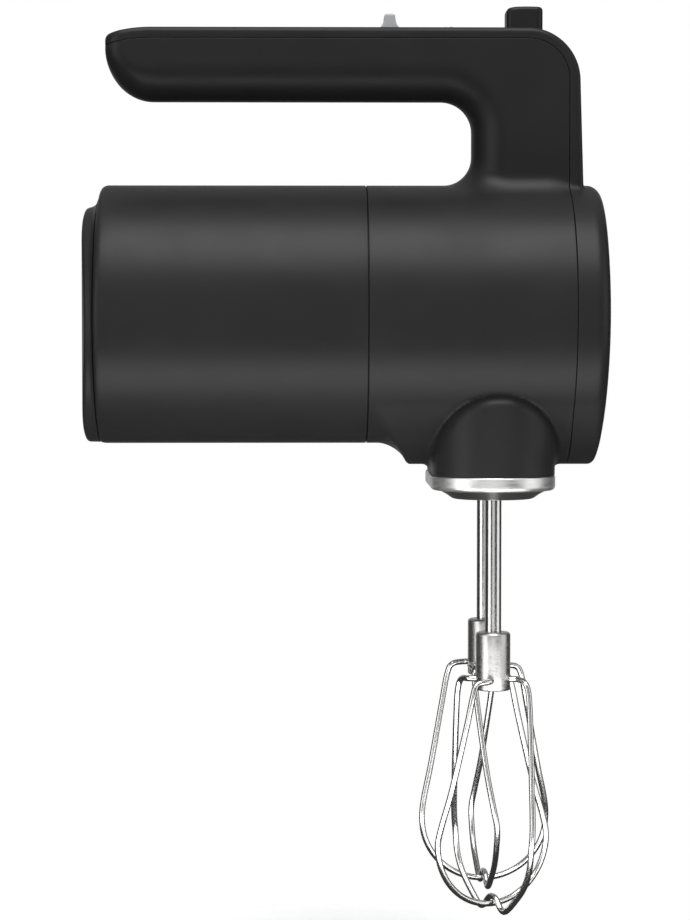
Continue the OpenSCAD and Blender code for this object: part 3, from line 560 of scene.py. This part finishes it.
LOOKS = {
    "black_body": moulded_plastic("black_body", (0.0115, 0.0115, 0.012), 0.42),
    "black_cover": moulded_plastic("black_cover", (0.0115, 0.0115, 0.012), 0.42),
    "black_button": moulded_plastic("black_button", (0.0125, 0.0125, 0.013), 0.38, grain=0.3),
    "black_inner": moulded_plastic("black_inner", (0.013, 0.013, 0.0135), 0.5),
    "grey_slider": moulded_plastic("grey_slider", (0.36, 0.365, 0.375), 0.4, grain=0.25),
    "silver_trim": metal("silver_trim", (0.74, 0.74, 0.73), 0.4, 0.3, (0.06, 0.06, 1), 0.03, 0.92),
    "silver_plate": metal("silver_plate", (0.3, 0.3, 0.29), 0.36, 0.3),
    "beater_chrome": metal("beater_chrome", (0.57, 0.57, 0.565), 0.2, 0.3, (1, 1, 0.1), 0.03, 0.92),
    "beater_collar": metal("beater_collar", (0.43, 0.425, 0.42), 0.32, 0.3, (0.1, 0.1, 1), 0.012, 0.95),
    "bright_steel": metal("bright_steel", (0.72, 0.72, 0.74), 0.22),
    "zinc_steel": metal("zinc_steel", (0.62, 0.63, 0.66), 0.35),
    "cast_alloy": metal("cast_alloy", (0.6, 0.61, 0.62), 0.5, 0.6, grain=0.6),
    "bronze": metal("bronze", (0.6, 0.42, 0.2), 0.45, 0.3, grain=0.5),
    "contact_brass": metal("contact_brass", (0.8, 0.62, 0.32), 0.25),
    "copper": metal("copper", (0.72, 0.36, 0.2), 0.35, 0.5, (0.2, 1, 1), grain=0.8),
    "ferrite": metal("ferrite", (0.14, 0.14, 0.15), 0.6, 0.5, grain=0.5),
    "carbon": metal("carbon", (0.06, 0.06, 0.06), 0.6, 0.3, grain=0.5),
    "gear_nylon": moulded_plastic("gear_nylon", (0.78, 0.75, 0.66), 0.4, grain=0.2),
    "circuit_board": circuit_board("circuit_board"),
    "cell_wrap": cell_wrap("cell_wrap"),
    "red_lead": moulded_plastic("red_lead", (0.45, 0.02, 0.02), 0.45, grain=0.2),
    "black_lead": moulded_plastic("black_lead", (0.02, 0.02, 0.02), 0.45, grain=0.2),
}

# inner CAD pieces that stay as they are take the finish of their slot
for part in frame["record"]["subparts"]:
    node = frame["nodes"][part["node"]]
    node.data.materials.clear()
    node.data.materials.append(LOOKS[part["material_slot"]])


# ---- housings ----


def window_field(x, y):
    """Below 0 inside the eject button's window."""
    half_x = BUTTON_HALF_X + BUTTON_GAP
    half_y = BUTTON_HALF_Y + BUTTON_GAP
    return round_box(x - BUTTON_X, y, half_x, half_y, BUTTON_R)


def slot_field(x, y):
    """Below 0 inside the speed slider's slot."""
    return round_box(x - SLOT_X, y, SLOT_HALF_X, SLOT_HALF_Y, SLOT_HALF_Y)


def in_handle_top(opening):
    """Field that is above 0 inside an opening, in the top of the handle only."""
    return lambda x, y, z: np.minimum(-opening(x, y), z - OPENINGS_LOW_Z)


def make_housings():
    """Cuts the outside into the main housing and the top cover."""
    points, faces = surface_net(body_field, (5.5, -53, -66), (207, 53, 114), NET_STEP)

    housing = cut(points.copy(), faces, mid_seam_field, body_field)
    housing = cut(*housing, front_seam_field, body_field)
    housing = cut(*housing, lambda x, y, z: NECK_END_Z - z, body_field)
    add_piece("main_housing_shell", *used_only(*housing), "housing", ["main_housing"],
              "black_body", LOOKS["black_body"], sharp=40)

    cover = cut(points.copy(), faces, lambda x, y, z: -front_seam_field(x, y, z), body_field)
    for opening in (window_field, slot_field):
        cover = cut(*cover, in_handle_top(opening), body_field)
    cover = join(used_only(*cover), speed_marks())
    add_piece("top_cover_shell", *cover, "housing", ["top_cover"],
              "black_cover", LOOKS["black_cover"], sharp=40)


def speed_marks():
    """Small raised bars beside the slot, each longer than the one behind it."""
    first_x = 134.6
    inner_y = -5.2
    top = HANDLE_TOP_Z + 0.25
    marks = []
    for k in range(5):
        x = first_x + 2 * k
        length = 2 + 0.6 * k
        rings = [[(x + sx * w, inner_y - (length if sy else 0) - (w if sy else -w), z)
                  for sx, sy in ((-1, 0), (1, 0), (1, 1), (-1, 1))]
                 for w, z in ((0.5, top - 0.8), (0.5, top - 0.15), (0.35, top))]
        marks.append(loft(rings, close_end=True))
    return join(*marks)


def axis_ring(x, top, bottom, count=144):
    """Upright circle, given by its highest and lowest points."""
    r = (top - bottom) / 2
    cz = (top + bottom) / 2
    angles = [2 * math.pi * k / count for k in range(count)]
    return [(x, r * math.cos(a), cz + r * math.sin(a)) for a in angles]


def square_ring(x, half, cz, count=144):
    """Upright square centred at a height, with as many points as a circle."""
    ring = []
    for k in range(count):
        c, s = math.cos(2 * math.pi * k / count), math.sin(2 * math.pi * k / count)
        r = half / max(abs(c), abs(s))
        ring.append((x, r * c, cz + r * s))
    return ring


def make_rear_housing():
    """Sleeve round the motor, with the square opening for the battery pack."""
    end = MID_SEAM_X + SEAM_GAP / 2 - MID_GAP
    inner_r = BARREL_R - 3.0
    shoulder = [(5.85, 46.2, -50.0), (5.95, 47.3, -50.15), (6.3, 48.6, -50.3), (6.9, 49.6, -50.4),
                (7.7, 50.2, -50.48), (8.8, 50.5, -50.5)]
    rings = [square_ring(OPENING_DEPTH_X, OPENING_HALF, PACK_Z),
             square_ring(REAR_SHOULDER_X + 0.3, OPENING_HALF, PACK_Z),
             square_ring(REAR_SHOULDER_X, OPENING_HALF + 0.3, PACK_Z)]
    rings += [axis_ring(REAR_SHOULDER_X, 43.5, -48.5)]
    rings += [axis_ring(5.9, 44.5, -49.2)]
    rings += [axis_ring(*s) for s in shoulder]
    rings += [axis_ring(x, BARREL_R, -BARREL_R) for x in np.linspace(12, end - SEAM_EDGE, 24)]
    for dx, dr in arc(0, 0, SEAM_EDGE, 90, 0, 4)[1:]:
        r = BARREL_R - SEAM_EDGE + dr
        rings.append(axis_ring(end - SEAM_EDGE + dx, r, -r))
    # a tongue under the front half's edge closes the seam to the eye
    tongue_r = BARREL_R - 2.2
    rings += [axis_ring(end, tongue_r, -tongue_r), axis_ring(end + 2.6, tongue_r, -tongue_r)]
    rings += [axis_ring(end + 2.6, inner_r, -inner_r),
              axis_ring(OPENING_DEPTH_X, inner_r, -inner_r),
              square_ring(OPENING_DEPTH_X, OPENING_HALF, PACK_Z)]
    add_piece("rear_housing_shell", *loft(rings), "housing", ["rear_housing"],
              "black_body", LOOKS["black_body"], sharp=35)


def heel_fall(y):
    """How far the heel curves away from its flat strip."""
    return max(abs(y) - 18, 0) ** 2 / 300


def make_battery_cap():
    """Rear cap of the pack, with the flat heel."""
    heel_r = 43.4
    side = [(0, 39.4, -47.6), (0.08, 40.3, -48.5), (0.35, 41.0, -49.2), (0.8, 41.5, -49.7),
            (1.5, 41.8, -49.95), (2.6, 42.1, -50), (3.5, 42.5, -50), (4.2, 43.1, -50),
            (4.8, 44.0, -50.03), (5.25, 45.0, -50.06), (5.4, 45.6, -50.0), (5.5, 45.5, -49.9)]
    steps = [heel_r * k / 14 for k in range(1, 14)]
    rings = [axis_ring(0, PACK_Z + r, PACK_Z - r) for r in [0.1, *steps]]
    rings += [axis_ring(*s) for s in side]
    rings += [axis_ring(CAP_T, 43, -48), axis_ring(CAP_T, PACK_Z + 0.1, PACK_Z - 0.1)]
    rings = [[(x + heel_fall(y) * (1 - x / CAP_T), y, z) for x, y, z in ring] for ring in rings]
    add_piece("battery_cap_shell", *loft(rings, True, True), "battery_pack", ["battery_cap"],
              "black_cover", LOOKS["black_cover"], sharp=40)


def case_ring(x, half, r=3.0):
    """Square outline of the battery case with round corners."""
    ring = []
    for sy, sz, start in ((1, 1, 0), (-1, 1, 90), (-1, -1, 180), (1, -1, 270)):
        corner = arc(sy * (half - r), PACK_Z + sz * (half - r), r, start, start + 90, 5)
        ring += [(x, y, z) for y, z in corner]
    return ring


def make_battery_case():
    """Hollow case with two slots for the dock's contact blades."""
    edge = 1.2
    wall_x = CASE_FRONT_X - CASE_WALL
    outer = [case_ring(CAP_T, CASE_HALF), case_ring(CASE_FRONT_X - edge, CASE_HALF)]
    outer += [case_ring(CASE_FRONT_X - edge + edge * s, CASE_HALF - edge + edge * c)
              for c, s in arc(0, 0, 1, 0, 90, 5)[1:]]
    inner = [case_ring(x, CASE_HALF - CASE_WALL, edge) for x in (CAP_T, wall_x)]
    slots = [[(CASE_FRONT_X, y + 2 * sy, PACK_Z + 6 * sz)
              for sy, sz in ((-1, -1), (1, -1), (1, 1), (-1, 1))]
             for y in (-8, 8)]
    backs = [[(wall_x, y, z) for _, y, z in slot] for slot in slots]
    shapes = [loft(outer), loft(inner), flat_face(outer[-1], slots), flat_face(inner[-1], backs)]
    shapes += [loft([slot, back]) for slot, back in zip(slots, backs)]
    shapes.append(loft([outer[0], inner[0]]))
    add_piece("battery_case_shell", *join(*shapes), "battery_pack", ["battery_case"],
              "black_inner", LOOKS["black_inner"], sharp=35)


# ---- neck ring and socket plate ----


def neck_ring(inset, z, steps=16):
    """Outline of the neck, shrunk by inset."""
    ring = []
    for sx, sy, start in ((1, 1, 0), (-1, 1, 90), (-1, -1, 180), (1, -1, 270)):
        cx = SPINDLE_X + sx * (NECK_HALF_X - NECK_R)
        cy = sy * (NECK_HALF_Y - NECK_R)
        ring += [(x, y, z) for x, y in arc(cx, cy, NECK_R - inset, start, start + 90, steps)]
    return ring


def make_trim_ring():
    """Silver band with a rolled lower edge."""
    profile = [(3.0, -62.3), (0.5, -62.3), (0.1, -62.35), (-0.12, -62.6), (-0.2, -63.0),
               (-0.2, -65.6)]
    profile += [(1.5 - 1.7 * c, -66.1 - 1.8 * s) for c, s in arc(0, 0, 1, 0, 90, 8)]
    profile += [(2.9, -67.9), (3.0, -67.6), (3.0, -62.3)]
    rings = [neck_ring(*p) for p in profile][::-1]
    add_piece("trim_ring_band", *loft(rings), "housing", ["trim_ring"],
              "silver_trim", LOOKS["silver_trim"], sharp=50)


def flat_face(outer, holes):
    """Flat face through an outline and round the holes in it."""
    loops = [[Vector(p) for p in loop] for loop in [outer, *holes]]
    points = [p for loop in loops for p in loop]
    return np.array([tuple(p) for p in points]), [list(t) for t in tessellate_polygon(loops)]


def circle(x, y, z, r, count=40):
    """Level circle."""
    angles = [2 * math.pi * k / count for k in range(count)]
    return [(x + r * math.cos(a), y + r * math.sin(a), z) for a in angles]


def make_socket_plate():
    """Plate with a sloping rim, two beater sockets and two screw holes."""
    low = -71.2
    bevel = 8.8
    profile = [(3.1, -66.5), (3.3, -67.9), (4.2, -68.5), (6.0, -69.5), (7.6, -70.6), (8.2, -71.0),
               (bevel, low)]
    rim = neck_ring(bevel, low)
    sockets = [(SPINDLE_X, s * SPINDLE_Y, 6.4, 5.4, 7.2) for s in (-1, 1)]
    screws = [(SPINDLE_X + s * PLATE_SCREW_OFFSET, 0, 3.4, 2.85, 2.4) for s in (-1, 1)]
    holes = [circle(x, y, low, r) for x, y, r, _, _ in sockets + screws]
    shapes = [loft([neck_ring(*p) for p in profile][::-1]), flat_face(rim, holes)]
    for x, y, mouth, bore, depth in sockets + screws:
        rings = [circle(x, y, low, mouth), circle(x, y, low + 0.25, mouth - 0.15),
                 circle(x, y, low + 0.7, bore + 0.1), circle(x, y, low + 1.0, bore),
                 circle(x, y, low + depth, bore)]
        shapes.append(loft(rings))
    add_piece("socket_plate_shell", *join(*shapes), "housing", ["socket_plate"],
              "silver_plate", LOOKS["silver_plate"], sharp=40)


def make_plate_screws():
    """Two pan heads with hexagon sockets, seen from below, on plain shanks."""
    base = -68.8
    shapes = []
    for s in (-1, 1):
        x = SPINDLE_X + s * PLATE_SCREW_OFFSET
        head = [(1.45, -57), (1.45, base), (2.75, base), (2.75, base - 1.4), (2.6, base - 1.9),
                (2.2, base - 2.2), (1.6, base - 2.2)]
        shapes.append(lathe_z(head, x, 0, 36, close_start=True))
        flats = [1.35 / math.cos(math.radians((k * 10) % 60 - 30)) for k in range(36)]
        rings = [[(x + r * math.cos(math.radians(-10 * k)), r * math.sin(math.radians(-10 * k)), z)
                  for k, r in enumerate(rs)]
                 for rs, z in (([1.6] * 36, base - 2.2), (flats, base - 2.1), (flats, base - 1.0))]
        shapes.append(loft(rings, close_end=True))
    add_piece("plate_screw_pair", *join(*shapes), "housing", ["plate_screws"],
              "zinc_steel", LOOKS["zinc_steel"], sharp=35)


# ---- beaters ----

LEG_EXIT_Z = -141.0
LEG_CORNER_Z = -144.0
LEG_CORNER_R = 15.6
LEG_WIDE_Z = -204.0
LEG_WIDE_R = 25.6
WIRE_R = 1.2
LOOP_LOW_Z = -230.2
PLAIN_LOW_Z = -228.6
HUMP_Z = -225.9
ROD_R = 3.15
ROD_TOP_Z = -30.6
COLLAR_R = 6.7
COLLAR_TOP_Z = -122.7
COLLAR_LOW_Z = -145.2


def polar(r, a, z):
    """Point at an angle in degrees round a beater's axis."""
    return (r * math.cos(math.radians(a)), r * math.sin(math.radians(a)), z)


def leg(a, lean):
    """One leg of a loop, from the collar down to its widest point."""
    return [polar(4.6, a + lean * 49, LEG_EXIT_Z), polar(6.7, a + lean * 49, LEG_EXIT_Z),
            polar(9.7, a + lean * 48, LEG_EXIT_Z),
            polar(LEG_CORNER_R - 2, a + lean * 29, LEG_CORNER_Z + 2.2),
            polar(LEG_CORNER_R, a + lean * 26, LEG_CORNER_Z - 2),
            polar(LEG_CORNER_R + 1.9, a + lean * 20, LEG_CORNER_Z - 14),
            polar(LEG_CORNER_R + 6, a + lean * 9, LEG_WIDE_Z + 22),
            polar(LEG_WIDE_R - 0.9, a + lean * 3, LEG_WIDE_Z + 8),
            polar(LEG_WIDE_R, a, LEG_WIDE_Z)]


def bowl(a, t, low):
    """Point on the round bottom of a loop; t runs from one leg to the other, 0 to 180."""
    return polar(LEG_WIDE_R * math.cos(math.radians(t)), a,
                 LEG_WIDE_Z - (LEG_WIDE_Z - low) * math.sin(math.radians(t)))


def plain_bottom(a):
    """Bottom of an outer loop."""
    return [bowl(a, t, PLAIN_LOW_Z) for t in range(18, 163, 18)]


def humped_bottom(a):
    """Bottom of an inner loop, with a hump over the outer loop's wire."""
    hump = [(9.5, LOOP_LOW_Z + 0.2), (6, LOOP_LOW_Z), (2.4, HUMP_Z - 0.7), (0, HUMP_Z),
            (-2.4, HUMP_Z - 0.7), (-6, LOOP_LOW_Z), (-9.5, LOOP_LOW_Z + 0.2)]
    near = [bowl(a, t, LOOP_LOW_Z) for t in (18, 34, 50)]
    far = [bowl(a, t, LOOP_LOW_Z) for t in (130, 146, 162)]
    return near + [polar(r, a, z) for r, z in hump] + far


def smooth_path(path, steps):
    """Smooth curve through a list of points."""
    p = np.array(path, float)
    out = []
    for i in range(len(p) - 1):
        a, b, c, d = p[max(i - 1, 0)], p[i], p[i + 1], p[min(i + 2, len(p) - 1)]
        for t in np.arange(steps) / steps:
            out.append(0.5 * (2 * b + (c - a) * t + (2 * a - 5 * b + 4 * c - d) * t ** 2
                              + (3 * b - a - 3 * c + d) * t ** 3))
    return np.array(out + [p[-1]])


def tube(path, r, sides=14):
    """Round tube along a path."""
    tangents = np.gradient(path, axis=0)
    tangents /= np.linalg.norm(tangents, axis=1, keepdims=True)
    side = np.cross(tangents[0], (0.3, 0.5, 0.81))
    rings = []
    for point, t in zip(path, tangents):
        side = side - t * (side @ t)
        side /= np.linalg.norm(side)
        up = np.cross(t, side)
        rings.append([point + r * (math.cos(a) * side + math.sin(a) * up)
                      for a in 2 * math.pi * np.arange(sides) / sides])
    return loft(rings, True, True)


def make_beater(side, y, turn, lean):
    """One beater: two wire loops, the rod with its drive lugs, and the collar."""
    body = f"{side}_beater"
    at = np.array((SPINDLE_X, y, 0))
    loops = {"outer_loop": (turn, plain_bottom), "inner_loop": (turn + 90, humped_bottom)}
    for part, (a, bottom) in loops.items():
        path = leg(a, lean) + bottom(a) + leg(a + 180, lean)[::-1]
        add_piece(f"{side}_{part}_wire", *tube(smooth_path(path, 8) + at, WIRE_R), body,
                  [f"{side}_{part}"], "beater_chrome", LOOKS["beater_chrome"], sharp=60)
    tip = [(0.6, 0), (1.65, 0), (2.2, 0.3), (2.9, 1.2), (3.12, 1.8), (ROD_R, 2.4)]
    rod = [(r, ROD_TOP_Z - drop) for r, drop in tip]
    rod += [(ROD_R, z) for z in np.linspace(-40, -140, 12)]
    lugs = [[(SPINDLE_X + 4.6 * sx, y + 0.8 * sy, z)
             for sx, sy in ((-1, -1), (1, -1), (1, 1), (-1, 1))][::-1] for z in (-55, -62)]
    shaft = join(lathe_z(rod, SPINDLE_X, y, close_start=True, close_end=True),
                 loft(lugs, True, True))
    add_piece(f"{side}_beater_rod", *shaft, body, [f"{side}_beater_shaft"],
              "beater_chrome", LOOKS["beater_chrome"], sharp=35)
    collar = [(ROD_R + 0.05, COLLAR_TOP_Z), (4.6, COLLAR_TOP_Z)]
    collar += arc(COLLAR_R - 1.2, COLLAR_TOP_Z - 1.2, 1.2, 90, 0, 6)
    collar += [(COLLAR_R, z) for z in (-128, -134, -139)]
    collar += arc(COLLAR_R - 0.6, COLLAR_LOW_Z + 0.6, 0.6, 0, -90, 4)
    collar += [(4.2, COLLAR_LOW_Z), (3.9, COLLAR_LOW_Z + 0.6), (0.4, COLLAR_LOW_Z + 0.6)]
    add_piece(f"{side}_beater_sleeve", *lathe_z(collar, SPINDLE_X, y, 56, close_end=True), body,
              [f"{side}_beater_collar"], "beater_collar", LOOKS["beater_collar"], sharp=35)


# ---- controls ----

KNOB_HALF_X = 2.0
KNOB_HALF_Y = 5.0
KNOB_LOW_Z = 111.15
KNOB_FLARE = 2.1
KNOB_FLARE_Z = 111.7
KNOB_FLARE_HEIGHT = 1.6


def knob_field(x, y, z):
    """Thumb tab of the speed slider, flared at its foot."""
    rise = np.maximum(z - KNOB_FLARE_Z, 0)
    half = KNOB_HALF_X + KNOB_FLARE * np.exp(-rise / KNOB_FLARE_HEIGHT)
    tab = round_meet(np.abs(x - KNOB_X) - half, z - KNOB_TOP_Z, 0.9)
    tab = round_meet(tab, np.abs(y) - KNOB_HALF_Y, 0.8)
    return np.maximum(tab, KNOB_LOW_Z - z)


def knob_block(half_x, half_y, top, low):
    """Plain block about the knob's axis."""
    corners = ((-1, 1), (1, 1), (1, -1), (-1, -1))
    rings = [[(KNOB_X + half_x * sx, half_y * sy, z) for sx, sy in corners] for z in (top, low)]
    return loft(rings, True, True)


def make_slider():
    """Thumb tab, with its stem through the slot and the plate that holds it from inside."""
    tab = surface_net(knob_field, (113.5, -6, 110.5), (124.5, 6, 118), 0.35)
    stem = knob_block(2.3, 2.3, 111.4, 105.5)
    plate = knob_block(8, 6, 105.6, 104.0)
    add_piece("slider_tab", *join(tab, stem, plate), "speed_slider", ["slider_knob"],
              "grey_slider", LOOKS["grey_slider"], sharp=45)


def button_field(x, y, z):
    """Eject button with a slightly domed top."""
    walls = round_box(x - BUTTON_X, y, BUTTON_HALF_X, BUTTON_HALF_Y, BUTTON_R)
    rear_fall = 0.035 * np.maximum(BUTTON_X - 3 - x, 0) ** 2
    dome = 0.006 * (y * y + (x - BUTTON_X - 1) ** 2)
    top = z - BUTTON_TOP_Z + dome + rear_fall
    return np.maximum(round_meet(walls, top, 1.4), 104 - z)


def make_button():
    """Cap of the eject button."""
    net = surface_net(button_field, (163, -9, 103), (180, 9, 121.5), 0.45)
    add_piece("eject_button_cap", *net, "eject", ["eject_button"],
              "black_button", LOOKS["black_button"], sharp=45)


make_housings()
make_rear_housing()
make_battery_cap()
make_battery_case()
make_trim_ring()
make_socket_plate()
make_plate_screws()
make_beater("right", -SPINDLE_Y, 31, 1)
make_beater("left", SPINDLE_Y, 8, -1)
make_slider()
make_button()


# ---- studio ----


def add_light(name, place, target, size, power):
    """Softbox that faces a target and that the camera doesn't see."""
    light = bpy.data.lights.new(name, "AREA")
    light.shape = "RECTANGLE"
    light.size, light.size_y = size
    light.energy = power
    lamp = bpy.data.objects.new(name, light)
    bpy.context.scene.collection.objects.link(lamp)
    lamp.location = place
    lamp.rotation_mode = "QUATERNION"
    lamp.rotation_quaternion = (Vector(target) - Vector(place)).to_track_quat("-Z", "Y")
    lamp.visible_camera = False


def make_floor():
    """Pale round floor, low enough for the beaters to be pulled out."""
    radius = 0.22
    low = -0.281
    points = circle(0.1, 0, low, radius, 96)
    mesh = bpy.data.meshes.new("studio_floor")
    mesh.from_pydata(points, [], [list(range(len(points)))])
    floor = bpy.data.objects.new("studio_floor", mesh)
    bpy.context.scene.collection.objects.link(floor)
    paper, _, _, shader = node_tree("studio_paper")
    shader.inputs["Base Color"].default_value = (0.9, 0.9, 0.9, 1)
    shader.inputs["Roughness"].default_value = 1.0
    shader.inputs["Specular IOR Level"].default_value = 0.0
    mesh.materials.append(paper)
    # the object doesn't mirror the floor, so its underside and the wires' edges stay dark
    floor.visible_glossy = False


def make_sky():
    """White surroundings that add only a dim, even light to the object."""
    world = bpy.data.worlds.new("studio_sky")
    world.use_nodes = True
    nodes = world.node_tree.nodes
    links = world.node_tree.links
    dim = nodes["Background"]
    dim.inputs["Color"].default_value = (1, 1, 1, 1)
    dim.inputs["Strength"].default_value = 0.05
    white = nodes.new("ShaderNodeBackground")
    white.inputs["Color"].default_value = (1, 1, 1, 1)
    white.inputs["Strength"].default_value = 1.0
    rays = nodes.new("ShaderNodeLightPath")
    mix = nodes.new("ShaderNodeMixShader")
    links.new(rays.outputs["Is Camera Ray"], mix.inputs["Fac"])
    links.new(dim.outputs["Background"], mix.inputs[1])
    links.new(white.outputs["Background"], mix.inputs[2])
    links.new(mix.outputs["Shader"], nodes["World Output"].inputs["Surface"])
    bpy.context.scene.world = world


def add_sun(name, energy, spread_deg, tilt_deg):
    """Soft light from a wide disc of the sky; tilt 0 is straight down, more comes from the front."""
    light = bpy.data.lights.new(name, "SUN")
    light.energy = energy
    light.angle = math.radians(spread_deg)
    lamp = bpy.data.objects.new(name, light)
    bpy.context.scene.collection.objects.link(lamp)
    lamp.rotation_euler = (math.radians(tilt_deg), 0, 0)


def make_lights():
    """A wide light from above and in front, a weak overhead one and five softboxes."""
    add_sun("key_light", 3.3, 42, 26)
    add_sun("overhead_fill", 0.8, 120, 0)
    centre = (0.12, 0, -0.05)
    add_light("left_softbox", (-0.85, -0.6, 0.1), centre, (0.7, 1.0), 5)
    add_light("right_softbox", (1.1, -0.35, 0.1), centre, (0.7, 1.0), 3.2)
    add_light("front_softbox", (0.1, -2.2, 0.1), centre, (1.4, 1.4), 5.2)
    add_light("back_softbox", (0.1, 2.0, 0.1), centre, (2.8, 1.6), 7)
    add_light("low_softbox", (0.1, -0.17, -0.215), (0.1, 0, -0.02), (0.5, 0.12), 1.0)


def make_camera():
    """Camera level with the barrel, a little behind its middle and far away."""
    data = bpy.data.cameras.new("camera")
    data.sensor_fit = "AUTO"
    data.sensor_width = 36
    data.lens = 107.26
    data.clip_start, data.clip_end = 0.05, 30
    camera = bpy.data.objects.new("camera", data)
    bpy.context.scene.collection.objects.link(camera)
    camera.location = (0.0838, -1.080, -0.0061)
    camera.rotation_euler = (math.radians(90 - 2.715), 0, math.radians(-0.94))
    bpy.context.scene.camera = camera


make_floor()
make_sky()
make_lights()
make_camera()
bpy.context.scene.view_settings.view_transform = "Standard"
